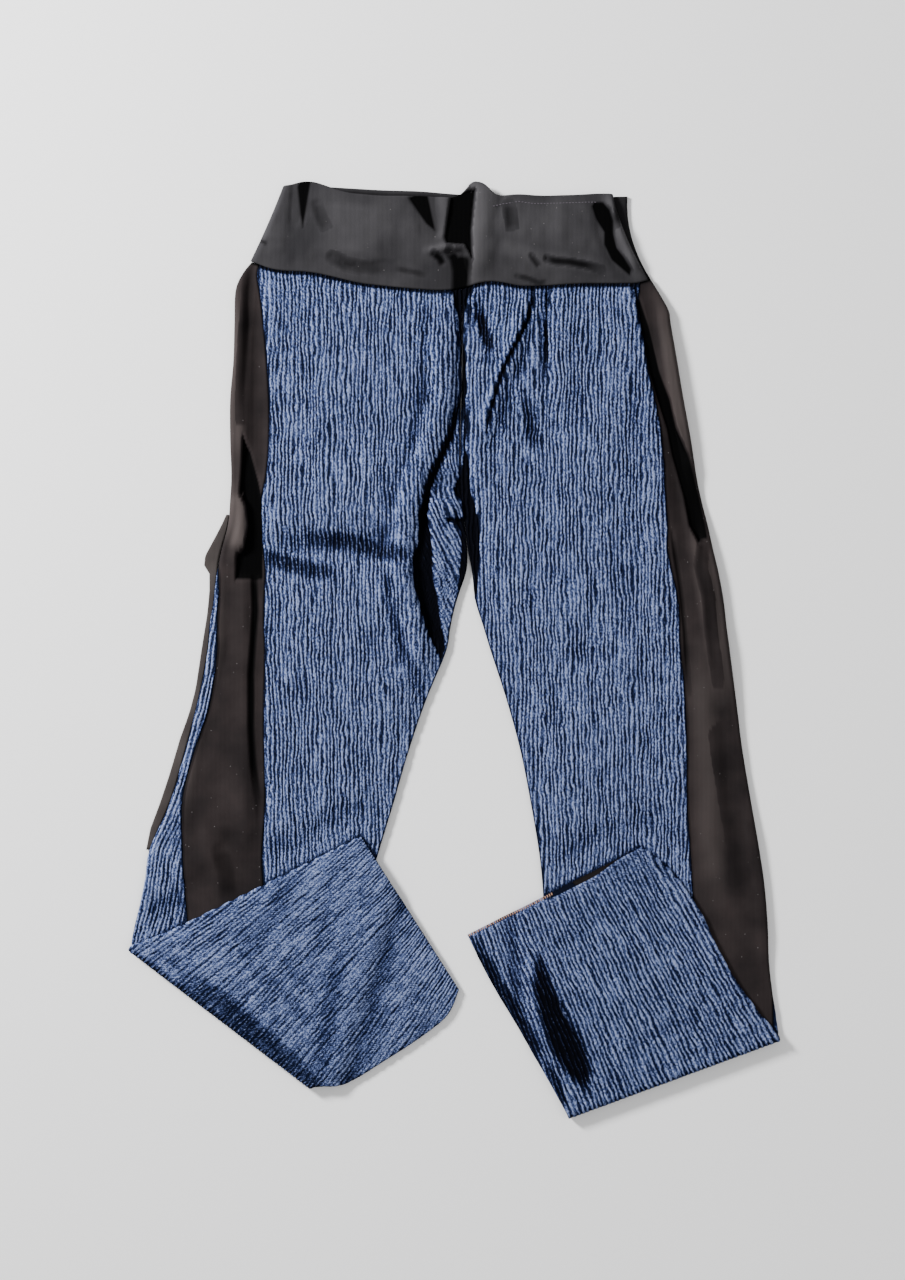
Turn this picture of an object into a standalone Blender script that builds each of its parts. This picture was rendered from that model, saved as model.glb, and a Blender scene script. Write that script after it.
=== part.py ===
# Pull-on trousers laid flat with both lower legs folded up over the shins.
# Each leg is a flattened tube of three cut pieces: front, side panel and back.
# A leg's surface is found from two coordinates. Station s runs down the leg, round
# the fold and back up the folded hem. Girth p runs round the tube: it is 0 at the
# outer edge, positive over the front and negative under the back.
# Left and right are as seen from above. +Y points to the waist and +Z is up.

import math
from collections import namedtuple

import bmesh
import bpy
import numpy as np

MM = 0.001

# Cloth and layers, in millimetres
CLOTH = 1.5
BAND_CLOTH = 2.2
SEAM_GAP = 0.3
LAYER_STEP = 2.2
BACK_MID = CLOTH / 2
FRONT_LOW_MID = BACK_MID + CLOTH + SEAM_GAP + 0.05
FRONT_PRESSED_MID = BACK_MID + LAYER_STEP
FLAP_UNDER_MID = FRONT_PRESSED_MID + LAYER_STEP
FLAP_TOP_MID = FLAP_UNDER_MID + LAYER_STEP
FOLD_LIFT = 2.0
FOLD_RELAX = 20.0
FOLD_AXIS = (BACK_MID + FLAP_TOP_MID + FOLD_LIFT) / 2
FOLD_REACH = FOLD_AXIS
FRONT_LOFT = 2.8
FLAP_LOFT = 1.0
WAIST_MID = 4.6
COVER_MARGIN = 24.0
COVER_EASE = 26.0
DROP_MARGIN = 16.0
DROP_EASE = 20.0

# Crinkle ribs, in millimetres
RIB_PITCH = 5.2
RIB_RISE = 1.0
RIB_WANDER = 0.55
INNER_STEP = 11.0
HIDDEN_STEP = 24.0

# Waistband, in millimetres
BAND_TURN = 5.0
BAND_BACK_INSET = 3.0
BAND_COLUMNS = 52
BAND_ROWS = 6

# The laid garment's middle, so that the part stands on its own centre
CENTRE_X = 3.56
CENTRE_Y = -0.57

# A row across a leg: its outer and inner ends, and how far its two side seams lie
# from the outer end, positive over the front and negative under the back.
LegRow = namedtuple("LegRow", "outer_x outer_y inner_x inner_y front_seam back_seam")
FlapRow = namedtuple("FlapRow", "outer_x outer_y inner_x inner_y")
# A fold is a soft ridge, or a trough where its rise is negative, along a line of points.
Fold = namedtuple("Fold", "name rise width line")

LEFT_LEG = [
    LegRow(-189, 367, 11, 342, 8, -19),
    LegRow(-197, 357, 11, 330, 14, -21),
    LegRow(-204, 340, 11, 318, 24, -21),
    LegRow(-205, 308, 11, 299, 29, -15),
    LegRow(-206, 273, 11, 272, 33, -11),
    LegRow(-209, 237, 10, 237, 38, -8),
    LegRow(-209, 199, 9, 199, 38, -8),
    LegRow(-208, 166, 9, 166, 34, -10),
    LegRow(-209, 142, 11, 142, 31, -13),
    LegRow(-211, 118, 14, 118, 34, -10),
    LegRow(-217, 95, 16, 95, 40, -5),
    LegRow(-221, 74, 15, 74, 46, 2),
    LegRow(-224, 47, 6, 47, 48, 5),
    LegRow(-228, 21, 0, 21, 52, 8),
    LegRow(-230, -2, -4, -2, 55, 10),
    LegRow(-239, -48, -23, -48, 63, 13),
    LegRow(-251, -95, -39, -95, 75, 10),
    LegRow(-265, -143, -54, -146, 90, 12),
    LegRow(-285, -190, -71, -202, 107, 32),
    LegRow(-289, -215, -84, -249, 114, 38),
    LegRow(-294, -240, -97, -293, 121, 46),
    LegRow(-300, -263, -114, -347, 135, 55),
    LegRow(-306, -285, -133, -417, 152, 63),
]
RIGHT_LEG = [
    LegRow(190, 351, 11, 342, 11, -13),
    LegRow(199, 336, 11, 332, 21, -15),
    LegRow(207, 321, 11, 318, 29, -13),
    LegRow(209, 308, 11, 299, 29, -13),
    LegRow(215, 273, 11, 272, 31, -12),
    LegRow(221, 237, 10, 237, 29, -13),
    LegRow(228, 199, 9, 199, 29, -13),
    LegRow(233, 166, 9, 166, 31, -11),
    LegRow(238, 142, 11, 142, 34, -10),
    LegRow(244, 118, 14, 118, 38, -8),
    LegRow(249, 95, 16, 95, 44, -7),
    LegRow(254, 74, 20, 74, 45, -7),
    LegRow(259, 47, 23, 47, 44, -7),
    LegRow(262, 21, 31, 21, 46, -7),
    LegRow(265, -2, 38, -2, 48, -7),
    LegRow(271, -48, 53, -48, 49, -7),
    LegRow(277, -95, 66, -95, 53, -7),
    LegRow(285, -143, 76, -145, 61, -7),
    LegRow(293, -190, 85, -200, 66, -8),
    LegRow(298, -224, 89, -246, 69, -8),
    LegRow(301, -262, 94, -295, 69, -8),
    LegRow(303, -304, 100, -357, 70, -3),
    LegRow(313, -371, 112, -445, 74, 5),
]
LEFT_FLAP = [
    FlapRow(-306, -285, -133, -417),
    FlapRow(-262, -265, -100, -412),
    FlapRow(-205, -237, -62, -390),
    FlapRow(-148, -209, -24, -365),
    FlapRow(-110, -190, -2, -346),
    FlapRow(-85, -177, 8, -323),
]
RIGHT_FLAP = [
    FlapRow(313, -371, 112, -445),
    FlapRow(286, -336, 93, -409),
    FlapRow(258, -293, 66, -362),
    FlapRow(234, -244, 42, -322),
    FlapRow(207, -208, 26, -292),
    FlapRow(181, -187, 16, -271),
]
CROTCH_ROW = 10
COVERED_ROW = 20

SHARED_FOLDS = [
    Fold("front_valley", -2.0, 9, [(11, 420), (11, 199), (15, 123), (17, 76)]),
]
LEFT_FOLDS = [
    Fold("hip_trough", -2.6, 17, [(-173, 104), (-100, 96), (-37, 104)]),
    Fold("hip_rise", 2.2, 34, [(-160, 148), (-100, 146), (-60, 160)]),
    Fold("thigh_rise", 1.8, 36, [(-160, 48), (-100, 48), (-50, 52)]),
    Fold("inner_roll", 6.0, 12, [(-6, 337), (-8, 237), (-28, 171), (-44, 118), (-48, 84)]),
    Fold("thigh_roll", 5.5, 11, [(-48, 95), (-44, 55), (-28, 4), (-14, -20)]),
    Fold("tongue", 3.5, 8, [(-18, 137), (8, 131)]),
    Fold("side_ridge", 2.6, 10, [(-199, 338), (-202, 171)]),
    Fold("side_valley", -2.4, 10, [(-186, 351), (-184, 171)]),
    Fold("side_bulge", 4.5, 11, [(-201, 150), (-199, 92)]),
    Fold("seam_trough", -2.2, 9, [(-184, 171), (-183, 71), (-182, -238)]),
    Fold("hem_hollow", -2.2, 14, [(-212, -165), (-206, -235)]),
    Fold("strip_edge", 1.4, 7, [(-219, 70), (-222, 0), (-245, -95), (-253, -160)]),
]
RIGHT_FOLDS = [
    Fold("curved_crease", 3.0, 8, [(74, 340), (60, 285), (41, 237), (28, 190)]),
    Fold("curved_shade", -2.0, 8, [(84, 340), (70, 285), (50, 237), (37, 186)]),
    Fold("straight_crease", -2.2, 7, [(91, 342), (90, 280), (92, 218)]),
    Fold("straight_rise", 1.8, 10, [(102, 338), (102, 226)]),
    Fold("crotch_hollow", -1.6, 14, [(28, 330), (36, 262)]),
    Fold("hip_rise", 2.0, 30, [(140, 240), (130, 150), (120, 60)]),
    Fold("knee_rise", 1.4, 30, [(130, 0), (150, -120)]),
    Fold("side_ridge", 3.4, 9, [(197, 336), (222, 190), (262, -48)]),
    Fold("side_valley", -2.2, 8, [(186, 346), (206, 209), (226, 85)]),
    Fold("outer_valley", -1.8, 8, [(226, 205), (244, 85)]),
    Fold("lower_rise", 2.2, 12, [(238, 0), (250, -238)]),
    Fold("lower_band", -1.8, 9, [(270, -48), (283, -300)]),
]
LEFT_FLAP_FOLDS = [
    Fold("flap_trough", -2.0, 15, [(-196, -268), (-114, -361)]),
    Fold("flap_rise", 2.6, 30, [(-90, -240), (-30, -330)]),
    Fold("flap_edge_rise", 2.0, 20, [(-250, -285), (-150, -378)]),
]
RIGHT_FLAP_FOLDS = [
    Fold("flap_hollow", -2.4, 14, [(66, -296), (82, -361), (104, -423)]),
    Fold("flap_edge_roll", 3.4, 11, [(40, -310), (62, -361), (94, -420)]),
    Fold("flap_rise", 2.2, 32, [(130, -260), (190, -370)]),
]
BAND_FOLDS = [
    Fold("left_groove", -1.6, 6, [(-143, 446), (-149, 399)]),
    Fold("left_rise", 2.0, 14, [(-166, 430), (-172, 385)]),
    Fold("middle_rise", 2.2, 30, [(-90, 425), (-95, 370)]),
    Fold("dip", -2.0, 11, [(-21, 436), (-17, 389)]),
    Fold("dip_lip", 2.6, 8, [(-6, 436), (-4, 385)]),
    Fold("centre_valley", -2.2, 8, [(11, 440), (11, 350)]),
    Fold("peak", 8.0, 12, [(27, 448), (25, 400), (20, 352)]),
    Fold("pinch", 2.0, 6, [(-10, 374), (2, 376)]),
    Fold("long_wrinkle", 1.8, 7, [(42, 382), (95, 369), (152, 362)]),
    Fold("small_wrinkle", -1.4, 6, [(-76, 364), (-48, 361)]),
    Fold("right_valley", -2.0, 10, [(141, 432), (152, 389), (166, 358)]),
    Fold("right_ridge", 5.0, 8, [(152, 434), (160, 399), (178, 356)]),
]

SeamPoint = namedtuple("SeamPoint", "x y")
WAIST_SEAM = [
    SeamPoint(-205, 373), SeamPoint(-189, 369), SeamPoint(-179, 363), SeamPoint(-162, 359),
    SeamPoint(-133, 358), SeamPoint(-114, 354), SeamPoint(-86, 347), SeamPoint(-48, 343),
    SeamPoint(-10, 340), SeamPoint(11, 342), SeamPoint(30, 349), SeamPoint(47, 349),
    SeamPoint(66, 344), SeamPoint(93, 345), SeamPoint(123, 347), SeamPoint(180, 347),
    SeamPoint(191, 352), SeamPoint(205, 356),
]
BACK_SEAM = [
    SeamPoint(-205, 369), SeamPoint(-189, 367), SeamPoint(11, 342), SeamPoint(190, 351),
    SeamPoint(206, 352),
]
BAND_TOP = [
    SeamPoint(-160, 438), SeamPoint(-145, 443), SeamPoint(-133, 445), SeamPoint(-119, 440),
    SeamPoint(-100, 433), SeamPoint(-67, 430), SeamPoint(-29, 430), SeamPoint(-10, 429),
    SeamPoint(5, 427), SeamPoint(16, 437), SeamPoint(27, 445), SeamPoint(36, 432),
    SeamPoint(47, 429), SeamPoint(61, 432), SeamPoint(85, 430), SeamPoint(123, 431),
    SeamPoint(145, 433), SeamPoint(160, 430),
]
BAND_BACK_TOP = [
    SeamPoint(-156, 436), SeamPoint(-133, 440), SeamPoint(-100, 438), SeamPoint(-67, 436),
    SeamPoint(-29, 435), SeamPoint(4, 432), SeamPoint(85, 428), SeamPoint(168, 430),
]
BandEnd = namedtuple("BandEnd", "bottom_x top_x bow")
BAND_LEFT = BandEnd(-189, -158, 1)
BAND_RIGHT = BandEnd(187, 153, -4)
BAND_BACK_RIGHT = BandEnd(190, 168, -7)

# The side panel's low fold that lies on the ground beyond the left leg's edge
TuckRow = namedtuple("TuckRow", "outer_x y")
LEFT_TUCK = [
    TuckRow(-213, 128), TuckRow(-218, 117), TuckRow(-226, 102), TuckRow(-233, 89),
    TuckRow(-234, 80), TuckRow(-229, 73), TuckRow(-229, 55), TuckRow(-231, 34),
    TuckRow(-236, 3), TuckRow(-242, -37), TuckRow(-248, -60), TuckRow(-257, -85),
    TuckRow(-267, -119), TuckRow(-276, -146), TuckRow(-285, -170), TuckRow(-289, -190),
]
TUCK_THICKNESS = 2.6
TUCK_CLEARANCE = 0.6

Finish = namedtuple("Finish", "colour roughness")
CRINKLE_BLUE = Finish((0.115, 0.155, 0.265, 1.0), 0.85)
BLACK_JERSEY = Finish((0.022, 0.020, 0.021, 1.0), 0.8)


def smooth_step(value):
    """Ease from 0 to 1 while the value goes from 0 to 1."""
    t = np.clip(value, 0.0, 1.0)
    return t * t * (3.0 - 2.0 * t)


def through(values, at):
    """A smooth curve through a list of values, one for each whole number."""
    v = np.asarray(values, float)
    last = len(v) - 1
    at = np.clip(at, 0.0, last)
    k = np.minimum(at.astype(int), last - 1)
    t = at - k
    a = v[np.maximum(k - 1, 0)]
    b = v[k]
    c = v[k + 1]
    d = v[np.minimum(k + 2, last)]
    slope_b = (c - a) / 2
    slope_c = (d - b) / 2
    t2 = t * t
    t3 = t2 * t
    return (2 * t3 - 3 * t2 + 1) * b + (t3 - 2 * t2 + t) * slope_b \
        + (3 * t2 - 2 * t3) * c + (t3 - t2) * slope_c


def curve_y(points, x):
    """The height y of a line of points at x, rounded where the points meet."""
    xs = [q.x for q in points]
    ys = [q.y for q in points]
    reach = np.linspace(-9.0, 9.0, 7)
    return sum(np.interp(x + r, xs, ys) for r in reach) / len(reach)


def line_distance(x, y, line):
    """Distance from points to a line of points, and how far along it they lie, 0 to 1."""
    best = np.full(x.shape, 1e9)
    along = np.zeros(x.shape)
    spans = len(line) - 1
    for k in range(spans):
        ax, ay = line[k]
        bx, by = line[k + 1]
        length2 = (bx - ax) ** 2 + (by - ay) ** 2
        t = np.clip(((x - ax) * (bx - ax) + (y - ay) * (by - ay)) / length2, 0.0, 1.0)
        d = np.hypot(x - ax - t * (bx - ax), y - ay - t * (by - ay))
        nearer = d < best
        best = np.where(nearer, d, best)
        along = np.where(nearer, (k + t) / spans, along)
    return best, along


def fold_height(folds, x, y):
    """The sum of the folds' soft ridges and troughs at points of the plan."""
    total = np.zeros(x.shape)
    for fold in folds:
        d, along = line_distance(x, y, fold.line)
        q = np.clip(d / (1.6 * fold.width), 0.0, 1.0)
        taper = smooth_step(along / 0.18) * smooth_step((1.0 - along) / 0.18)
        total += fold.rise * (1.0 - q * q) ** 2 * (0.35 + 0.65 * taper)
    return total


def beyond(x, y, ax, ay, bx, by):
    """Signed distance to the left of the line from a to b."""
    length = math.hypot(bx - ax, by - ay)
    return ((bx - ax) * (y - ay) - (by - ay) * (x - ax)) / length


class Leg:
    """One leg's surface: points and ribs from station s and girth p."""

    def __init__(self, rows, flap, folds, flap_folds, side):
        self.side = side
        self.folds = folds + SHARED_FOLDS
        self.flap_folds = flap_folds
        self.last = len(rows) - 1
        self.flap_start = self.last + 1
        self.end = self.flap_start + len(flap) - 1
        fold = rows[-1]
        along_x = fold.inner_x - fold.outer_x
        along_y = fold.inner_y - fold.outer_y
        length = math.hypot(along_x, along_y)
        self.out_x = -along_y / length * self.side
        self.out_y = along_x / length * self.side
        shift_x = self.out_x * FOLD_REACH
        shift_y = self.out_y * FOLD_REACH
        self.table = {name: [getattr(r, name) for r in rows] for name in LegRow._fields}
        self.flap = {name: [getattr(r, name) for r in flap] for name in FlapRow._fields}
        for table, place in ((self.table, -1), (self.flap, 0)):
            table["outer_x"][place] -= shift_x
            table["inner_x"][place] -= shift_x
            table["outer_y"][place] -= shift_y
            table["inner_y"][place] -= shift_y
        self.fold = fold
        outer = [(r.outer_x, r.outer_y) for r in flap]
        inner = [(r.inner_x, r.inner_y) for r in flap]
        self.outline = outer + inner[::-1] + outer[:1]

    def seam(self, name, s):
        """Girth of the front or the back seam at a station."""
        return through(self.table[name], np.minimum(s, float(self.last)))

    def ends(self, s):
        """The outer and the inner end of the row at a station, in plan."""
        leg_s = np.minimum(s, float(self.last))
        flap_s = np.maximum(s - self.flap_start, 0.0)
        on_flap = s >= self.flap_start
        found = []
        for name in FlapRow._fields:
            found.append(np.where(on_flap, through(self.flap[name], flap_s),
                                  through(self.table[name], leg_s)))
        return found

    def uncovered(self, x, y):
        """Distance outside the folded hem's outline, negative under it."""
        distance, _ = line_distance(x, y, self.outline)
        inside = np.zeros(x.shape, bool)
        for (ax, ay), (bx, by) in zip(self.outline, self.outline[1:]):
            crosses = (ay > y) != (by > y)
            reach = ax + (y - ay) * (bx - ax) / (by - ay + 1e-9)
            inside ^= crosses & (x < reach)
        return np.where(inside, -distance, distance)

    def outside_leg(self, x, y):
        """Distance beyond the shin's inner edge, where the folded hem lies on the ground."""
        a = 17
        ax = self.table["inner_x"][a]
        ay = self.table["inner_y"][a]
        bx = self.fold.inner_x
        by = self.fold.inner_y
        return -self.side * beyond(x, y, ax, ay, bx, by)

    def layer(self, s, x, y, u):
        """Mid heights of the layer over p > 0 and of the layer over p < 0."""
        outside = self.uncovered(x, y)
        open_cloth = smooth_step((outside - COVER_MARGIN) / COVER_EASE)
        near_inner = smooth_step((1.0 - u) / 0.16)
        below_crotch = smooth_step((s - CROTCH_ROW + 1.5) / 2.0)
        near_inner = near_inner * below_crotch + (1.0 - below_crotch)
        loft = FRONT_LOFT * near_inner + fold_height(self.folds, x, y) * \
            (1.0 - below_crotch * (1.0 - near_inner))
        front = FRONT_PRESSED_MID + loft * open_cloth
        waist = np.exp(-(s / 1.1) ** 2)
        front = front * (1.0 - waist) + (WAIST_MID + fold_height(self.folds, x, y) * 0.6) * waist
        front = np.maximum(front, FRONT_LOW_MID)
        back = np.full(x.shape, BACK_MID)
        flap_s = np.maximum(s - self.flap_start, 0.0)
        lift = FOLD_LIFT * np.exp(-flap_s * 46.0 / FOLD_RELAX)
        past_leg = smooth_step((self.outside_leg(x, y) - DROP_MARGIN) / DROP_EASE)
        drop = (FLAP_UNDER_MID - BACK_MID) * past_leg
        drop = drop * smooth_step(flap_s / 0.6)
        puff = FLAP_LOFT + fold_height(self.flap_folds, x, y)
        puff = np.maximum(puff, 0.0) * smooth_step(flap_s / 0.8)
        puff = puff * smooth_step((1.0 - u) / 0.1) * smooth_step(u / 0.06)
        under = FLAP_UNDER_MID + lift - drop
        top = FLAP_TOP_MID + lift - drop + puff
        on_flap = s >= self.flap_start
        return np.where(on_flap, under, front), np.where(on_flap, top, back)

    def section(self, s, p):
        """Points of the cloth's middle for stations on the leg or on the folded hem."""
        ox, oy, ix, iy = self.ends(s)
        width = np.hypot(ix - ox, iy - oy)
        ex = (ix - ox) / width
        ey = (iy - oy) / width
        edge_front, edge_back = self.layer(s, ox + ex * 3.0, oy + ey * 3.0, 3.0 / width)
        radius = np.abs(edge_front - edge_back) / 2
        turn = radius * math.pi / 2
        angle = np.clip(np.abs(p) / radius, 0.0, math.pi / 2)
        inward = radius * (1.0 - np.cos(angle)) + np.maximum(np.abs(p) - turn, 0.0) + CLOTH / 2
        x = ox + ex * inward
        y = oy + ey * inward
        u = inward / width
        front, back = self.layer(s, x, y, u)
        settle = smooth_step((np.abs(p) - turn) / 9.0)
        flat = np.where(p >= 0, front, back)
        edge = np.where(p >= 0, edge_front, edge_back)
        middle = (edge_front + edge_back) / 2
        z = middle + (edge - middle) * np.sin(angle)
        z = z * (1.0 - settle) + flat * settle
        pull = np.exp(-(s / 0.9) ** 2)
        first = self.table["outer_y"][0]
        straight = first + (self.table["inner_y"][0] - first) * u
        bend = (curve_y(WAIST_SEAM, x) - straight) * smooth_step(p / 4.0)
        y = y + (bend - SEAM_GAP / 2) * pull
        return np.stack([x, y, z], -1)

    def point(self, s, p):
        """Points of the cloth's middle at any station, the fold included."""
        s = np.asarray(s, float)
        p = np.asarray(p, float)
        bend = (s > self.last) & (s < self.flap_start)
        on = self.section(np.where(bend, float(self.last), s), p)
        radius = FOLD_AXIS - on[..., 2]
        angle = (s - self.last) * math.pi
        bent = on.copy()
        bent[..., 0] += self.out_x * radius * np.sin(angle)
        bent[..., 1] += self.out_y * radius * np.sin(angle)
        bent[..., 2] = FOLD_AXIS - radius * np.cos(angle)
        return np.where(bend[..., None], bent, on)

    def normal(self, s, p):
        """Directions out of the tube."""
        ds = 0.04
        dp = 0.25
        low = np.where((s >= self.last) & (s - ds < self.last), s, s - ds)
        low = np.where((s >= self.flap_start) & (s - ds < self.flap_start), s, low)
        low = np.maximum(low, 0.0)
        high = np.minimum(low + ds, float(self.end))
        low = high - ds
        along = self.point(high, p) - self.point(low, p)
        across = self.point(s, p + dp) - self.point(s, p - dp)
        n = np.cross(across, along) * self.side
        return n / np.linalg.norm(n, axis=-1, keepdims=True)


def wander(seed, s):
    """A small repeatable drift for a rib at a station, from -1 to 1."""
    return math.sin(seed * 12.9898 + s * 2.1) * 0.6 + math.sin(seed * 4.13 + s * 5.3) * 0.4


def girths(start, end, step, stops=()):
    """Girths from start to end, about a step apart, that include the stops between."""
    marks = [start] + [q for q in stops if start + 0.5 < q < end - 0.5] + [end]
    found = []
    for a, b in zip(marks, marks[1:]):
        count = max(1, round((b - a) / step))
        found += [a + (b - a) * k / count for k in range(count)]
    return found + [end]


def stitch(first, second, low, high):
    """Triangles between two rows of vertices, by their keys."""
    faces = []
    i = 0
    j = 0
    while i < len(first) - 1 or j < len(second) - 1:
        if j == len(second) - 1:
            step_first = True
        elif i == len(first) - 1:
            step_first = False
        else:
            step_first = low[i] + low[i + 1] < high[j] + high[j + 1]
        if step_first:
            faces.append((first[i], first[i + 1], second[j]))
            i += 1
        else:
            faces.append((first[i], second[j + 1], second[j]))
            j += 1
    return faces


def closed_wall(name, outer_rows, inner_rows, finish):
    """One closed wall from rows of (key, point) on its outside and on its inside."""
    points = []
    index = []
    keys = []
    for rows in (outer_rows, inner_rows):
        side_index = []
        side_keys = []
        for row in rows:
            side_index.append(list(range(len(points), len(points) + len(row))))
            side_keys.append([key for key, _ in row])
            points += [point for _, point in row]
        index.append(side_index)
        keys.append(side_keys)
    faces = []
    for side_index, side_keys in zip(index, keys):
        for k in range(len(side_index) - 1):
            faces += stitch(side_index[k], side_index[k + 1], side_keys[k], side_keys[k + 1])
    for k in (0, -1):
        faces += stitch(index[0][k], index[1][k], keys[0][k], keys[1][k])
    for k in range(len(index[0]) - 1):
        for edge in (0, -1):
            a = index[0][k][edge]
            b = index[0][k + 1][edge]
            c = index[1][k + 1][edge]
            d = index[1][k][edge]
            faces += [(a, b, c), (a, c, d)]
    return make_object(name, points, faces, finish)


def make_object(name, points, faces, finish):
    """A named object with its own finish from points in millimetres."""
    mesh = bpy.data.meshes.new(name)
    place = [((x - CENTRE_X) * MM, (y - CENTRE_Y) * MM, z * MM) for x, y, z in points]
    mesh.from_pydata(place, [], faces)
    edit = bmesh.new()
    edit.from_mesh(mesh)
    bmesh.ops.recalc_face_normals(edit, faces=edit.faces)
    if edit.calc_volume(signed=True) < 0:
        bmesh.ops.reverse_faces(edit, faces=edit.faces)
    edit.to_mesh(mesh)
    edit.free()
    mesh.shade_smooth()
    mesh.set_sharp_from_angle(angle=math.radians(50))
    material = bpy.data.materials.new(name + "_cloth")
    material.use_nodes = True
    shader = material.node_tree.nodes["Principled BSDF"]
    shader.inputs["Base Color"].default_value = finish.colour
    shader.inputs["Roughness"].default_value = finish.roughness
    shader.inputs["Metallic"].default_value = 0.0
    mesh.materials.append(material)
    placed = bpy.data.objects.new(name, mesh)
    bpy.context.collection.objects.link(placed)
    return placed


def edge_normal(normals, tangents):
    """Normals with their lean along a seam's crossing direction taken out."""
    lean = np.sum(normals * tangents, axis=-1, keepdims=True)
    upright = normals - lean * tangents
    return upright / np.linalg.norm(upright, axis=-1, keepdims=True)


def wall_rows(leg, stations, rows, offset):
    """All rows of a wall's outer or inner points, moved off the cloth's middle."""
    counts = [len(row[0]) for row in rows]
    s = np.concatenate([np.full(n, float(k)) for k, n in zip(stations, counts)])
    p = np.concatenate([np.asarray(row[0], float) for row in rows])
    rises = np.concatenate([np.asarray(row[2], float) for row in rows])
    middle = leg.point(s, p)
    normals = leg.normal(s, p)
    across = leg.point(s, p + 0.2) - leg.point(s, p - 0.2)
    across[:, 2] = 0.0
    level = np.linalg.norm(across, axis=-1, keepdims=True)
    across = across / np.maximum(level, 1e-6)
    flat = edge_normal(normals, across)
    last = np.cumsum(counts) - 1
    edges = np.concatenate([last, np.concatenate([[0], last[:-1] + 1])])
    upright = edges[np.abs(normals[edges, 2]) > 0.5]
    normals[upright] = flat[upright]
    moved = np.round(middle + normals * (offset + rises)[:, None], 4)
    found = []
    place = 0
    for row, n in zip(rows, counts):
        found.append([(key, tuple(q)) for key, q in zip(row[1], moved[place:place + n])])
        place += n
    return found


def leg_stations(leg):
    """Stations down the leg, round the fold and up the hem."""
    bends = [leg.last + k / 4 for k in range(1, 4)]
    flap = [leg.flap_start + k for k in range(len(leg.flap["outer_x"]))]
    return [float(k) for k in range(leg.last + 1)] + bends + [float(k) for k in flap]


def edge_stops(leg, s):
    """Girths where the tube turns round its outer edge."""
    station = np.array([float(min(s, leg.last) if s < leg.flap_start else s)])
    ox, oy, ix, iy = leg.ends(station)
    front, back = leg.layer(station, ox, oy, np.zeros(1))
    turn = abs(front[0] - back[0]) / 2 * math.pi / 2
    return [-turn, -turn / 2, 0.0, turn / 2, turn]


def plain_columns(start, end, step, stops):
    """Girths of plain columns from start to end, either way."""
    found = girths(min(start, end), max(start, end), step, stops)
    return found if end > start else found[::-1]


def make_row(s, start, end, step, stops, ribbed, show):
    """A row's girths, keys and rises, with crinkle ribs over the ribbed span."""
    if ribbed is None:
        ps = plain_columns(start, end, step, stops)
        return ps, [abs(q - start) for q in ps], [0.0] * len(ps)
    first, last = ribbed
    ps = plain_columns(start, first, step, stops)[:-1] if first != start else []
    keys = [abs(q - start) for q in ps]
    rises = [0.0] * len(ps)
    half = RIB_PITCH / 2
    sign = 1.0 if last > first else -1.0
    count = int(abs(last - first) / half - 0.6)
    marks = [k * half for k in range(1, count + 1)]
    ribs = [first + sign * (mark + RIB_WANDER * wander(k, s)) for k, mark in enumerate(marks)]
    shown = show(np.full(count, float(s)), np.array(ribs)) * RIB_RISE
    ps += [first] + ribs
    keys += [abs(first - start)] + [abs(first - start) + mark for mark in marks]
    rises += [0.0] + [float(rise) if k % 2 == 0 else 0.0 for k, rise in enumerate(shown)]
    rest = plain_columns(last, end, step, stops) if last != end else [end]
    return ps + rest, keys + [abs(q - start) for q in rest], rises + [0.0] * len(rest)


def layer_end(leg, s):
    """Girth of a layer's inner end at a station."""
    station = np.array([float(s if s <= leg.last or s >= leg.flap_start else leg.last)])
    ox, oy, ix, iy = leg.ends(station)
    front, back = leg.layer(station, ox, oy, np.zeros(1))
    radius = abs(front[0] - back[0]) / 2
    return math.hypot(ix[0] - ox[0], iy[0] - oy[0]) - CLOTH / 2 \
        - radius + radius * math.pi / 2 - SEAM_GAP / 2


def panel(name, leg, span, ribbed, show, finish):
    """A leg's cut piece, from its span of girths at each station."""
    outer = []
    inner = []
    stations = leg_stations(leg)
    for s in stations:
        start, end = span(s)
        stops = edge_stops(leg, s)
        ribs = ribbed(s, start, end, stops[-1])
        under = end < 0 and s <= leg.last
        covered = COVERED_ROW < s <= leg.last
        step = HIDDEN_STEP if under or covered else INNER_STEP
        inner.append(make_row(s, start, end, step, stops, None, show))
        outer.append(make_row(s, start, end, step, stops, ribs, show))
    return closed_wall(name, wall_rows(leg, stations, outer, CLOTH / 2),
                       wall_rows(leg, stations, inner, -CLOTH / 2), finish)


def uncovered_ribs(leg):
    """How far a leg's ribs stand up: none where the folded hem covers them."""
    def show(s, p):
        q = leg.point(s, p)
        on_leg = smooth_step((leg.uncovered(q[:, 0], q[:, 1]) - 9.0) / 10.0)
        return np.where(s > leg.last, 1.0, on_leg)
    return show


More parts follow.
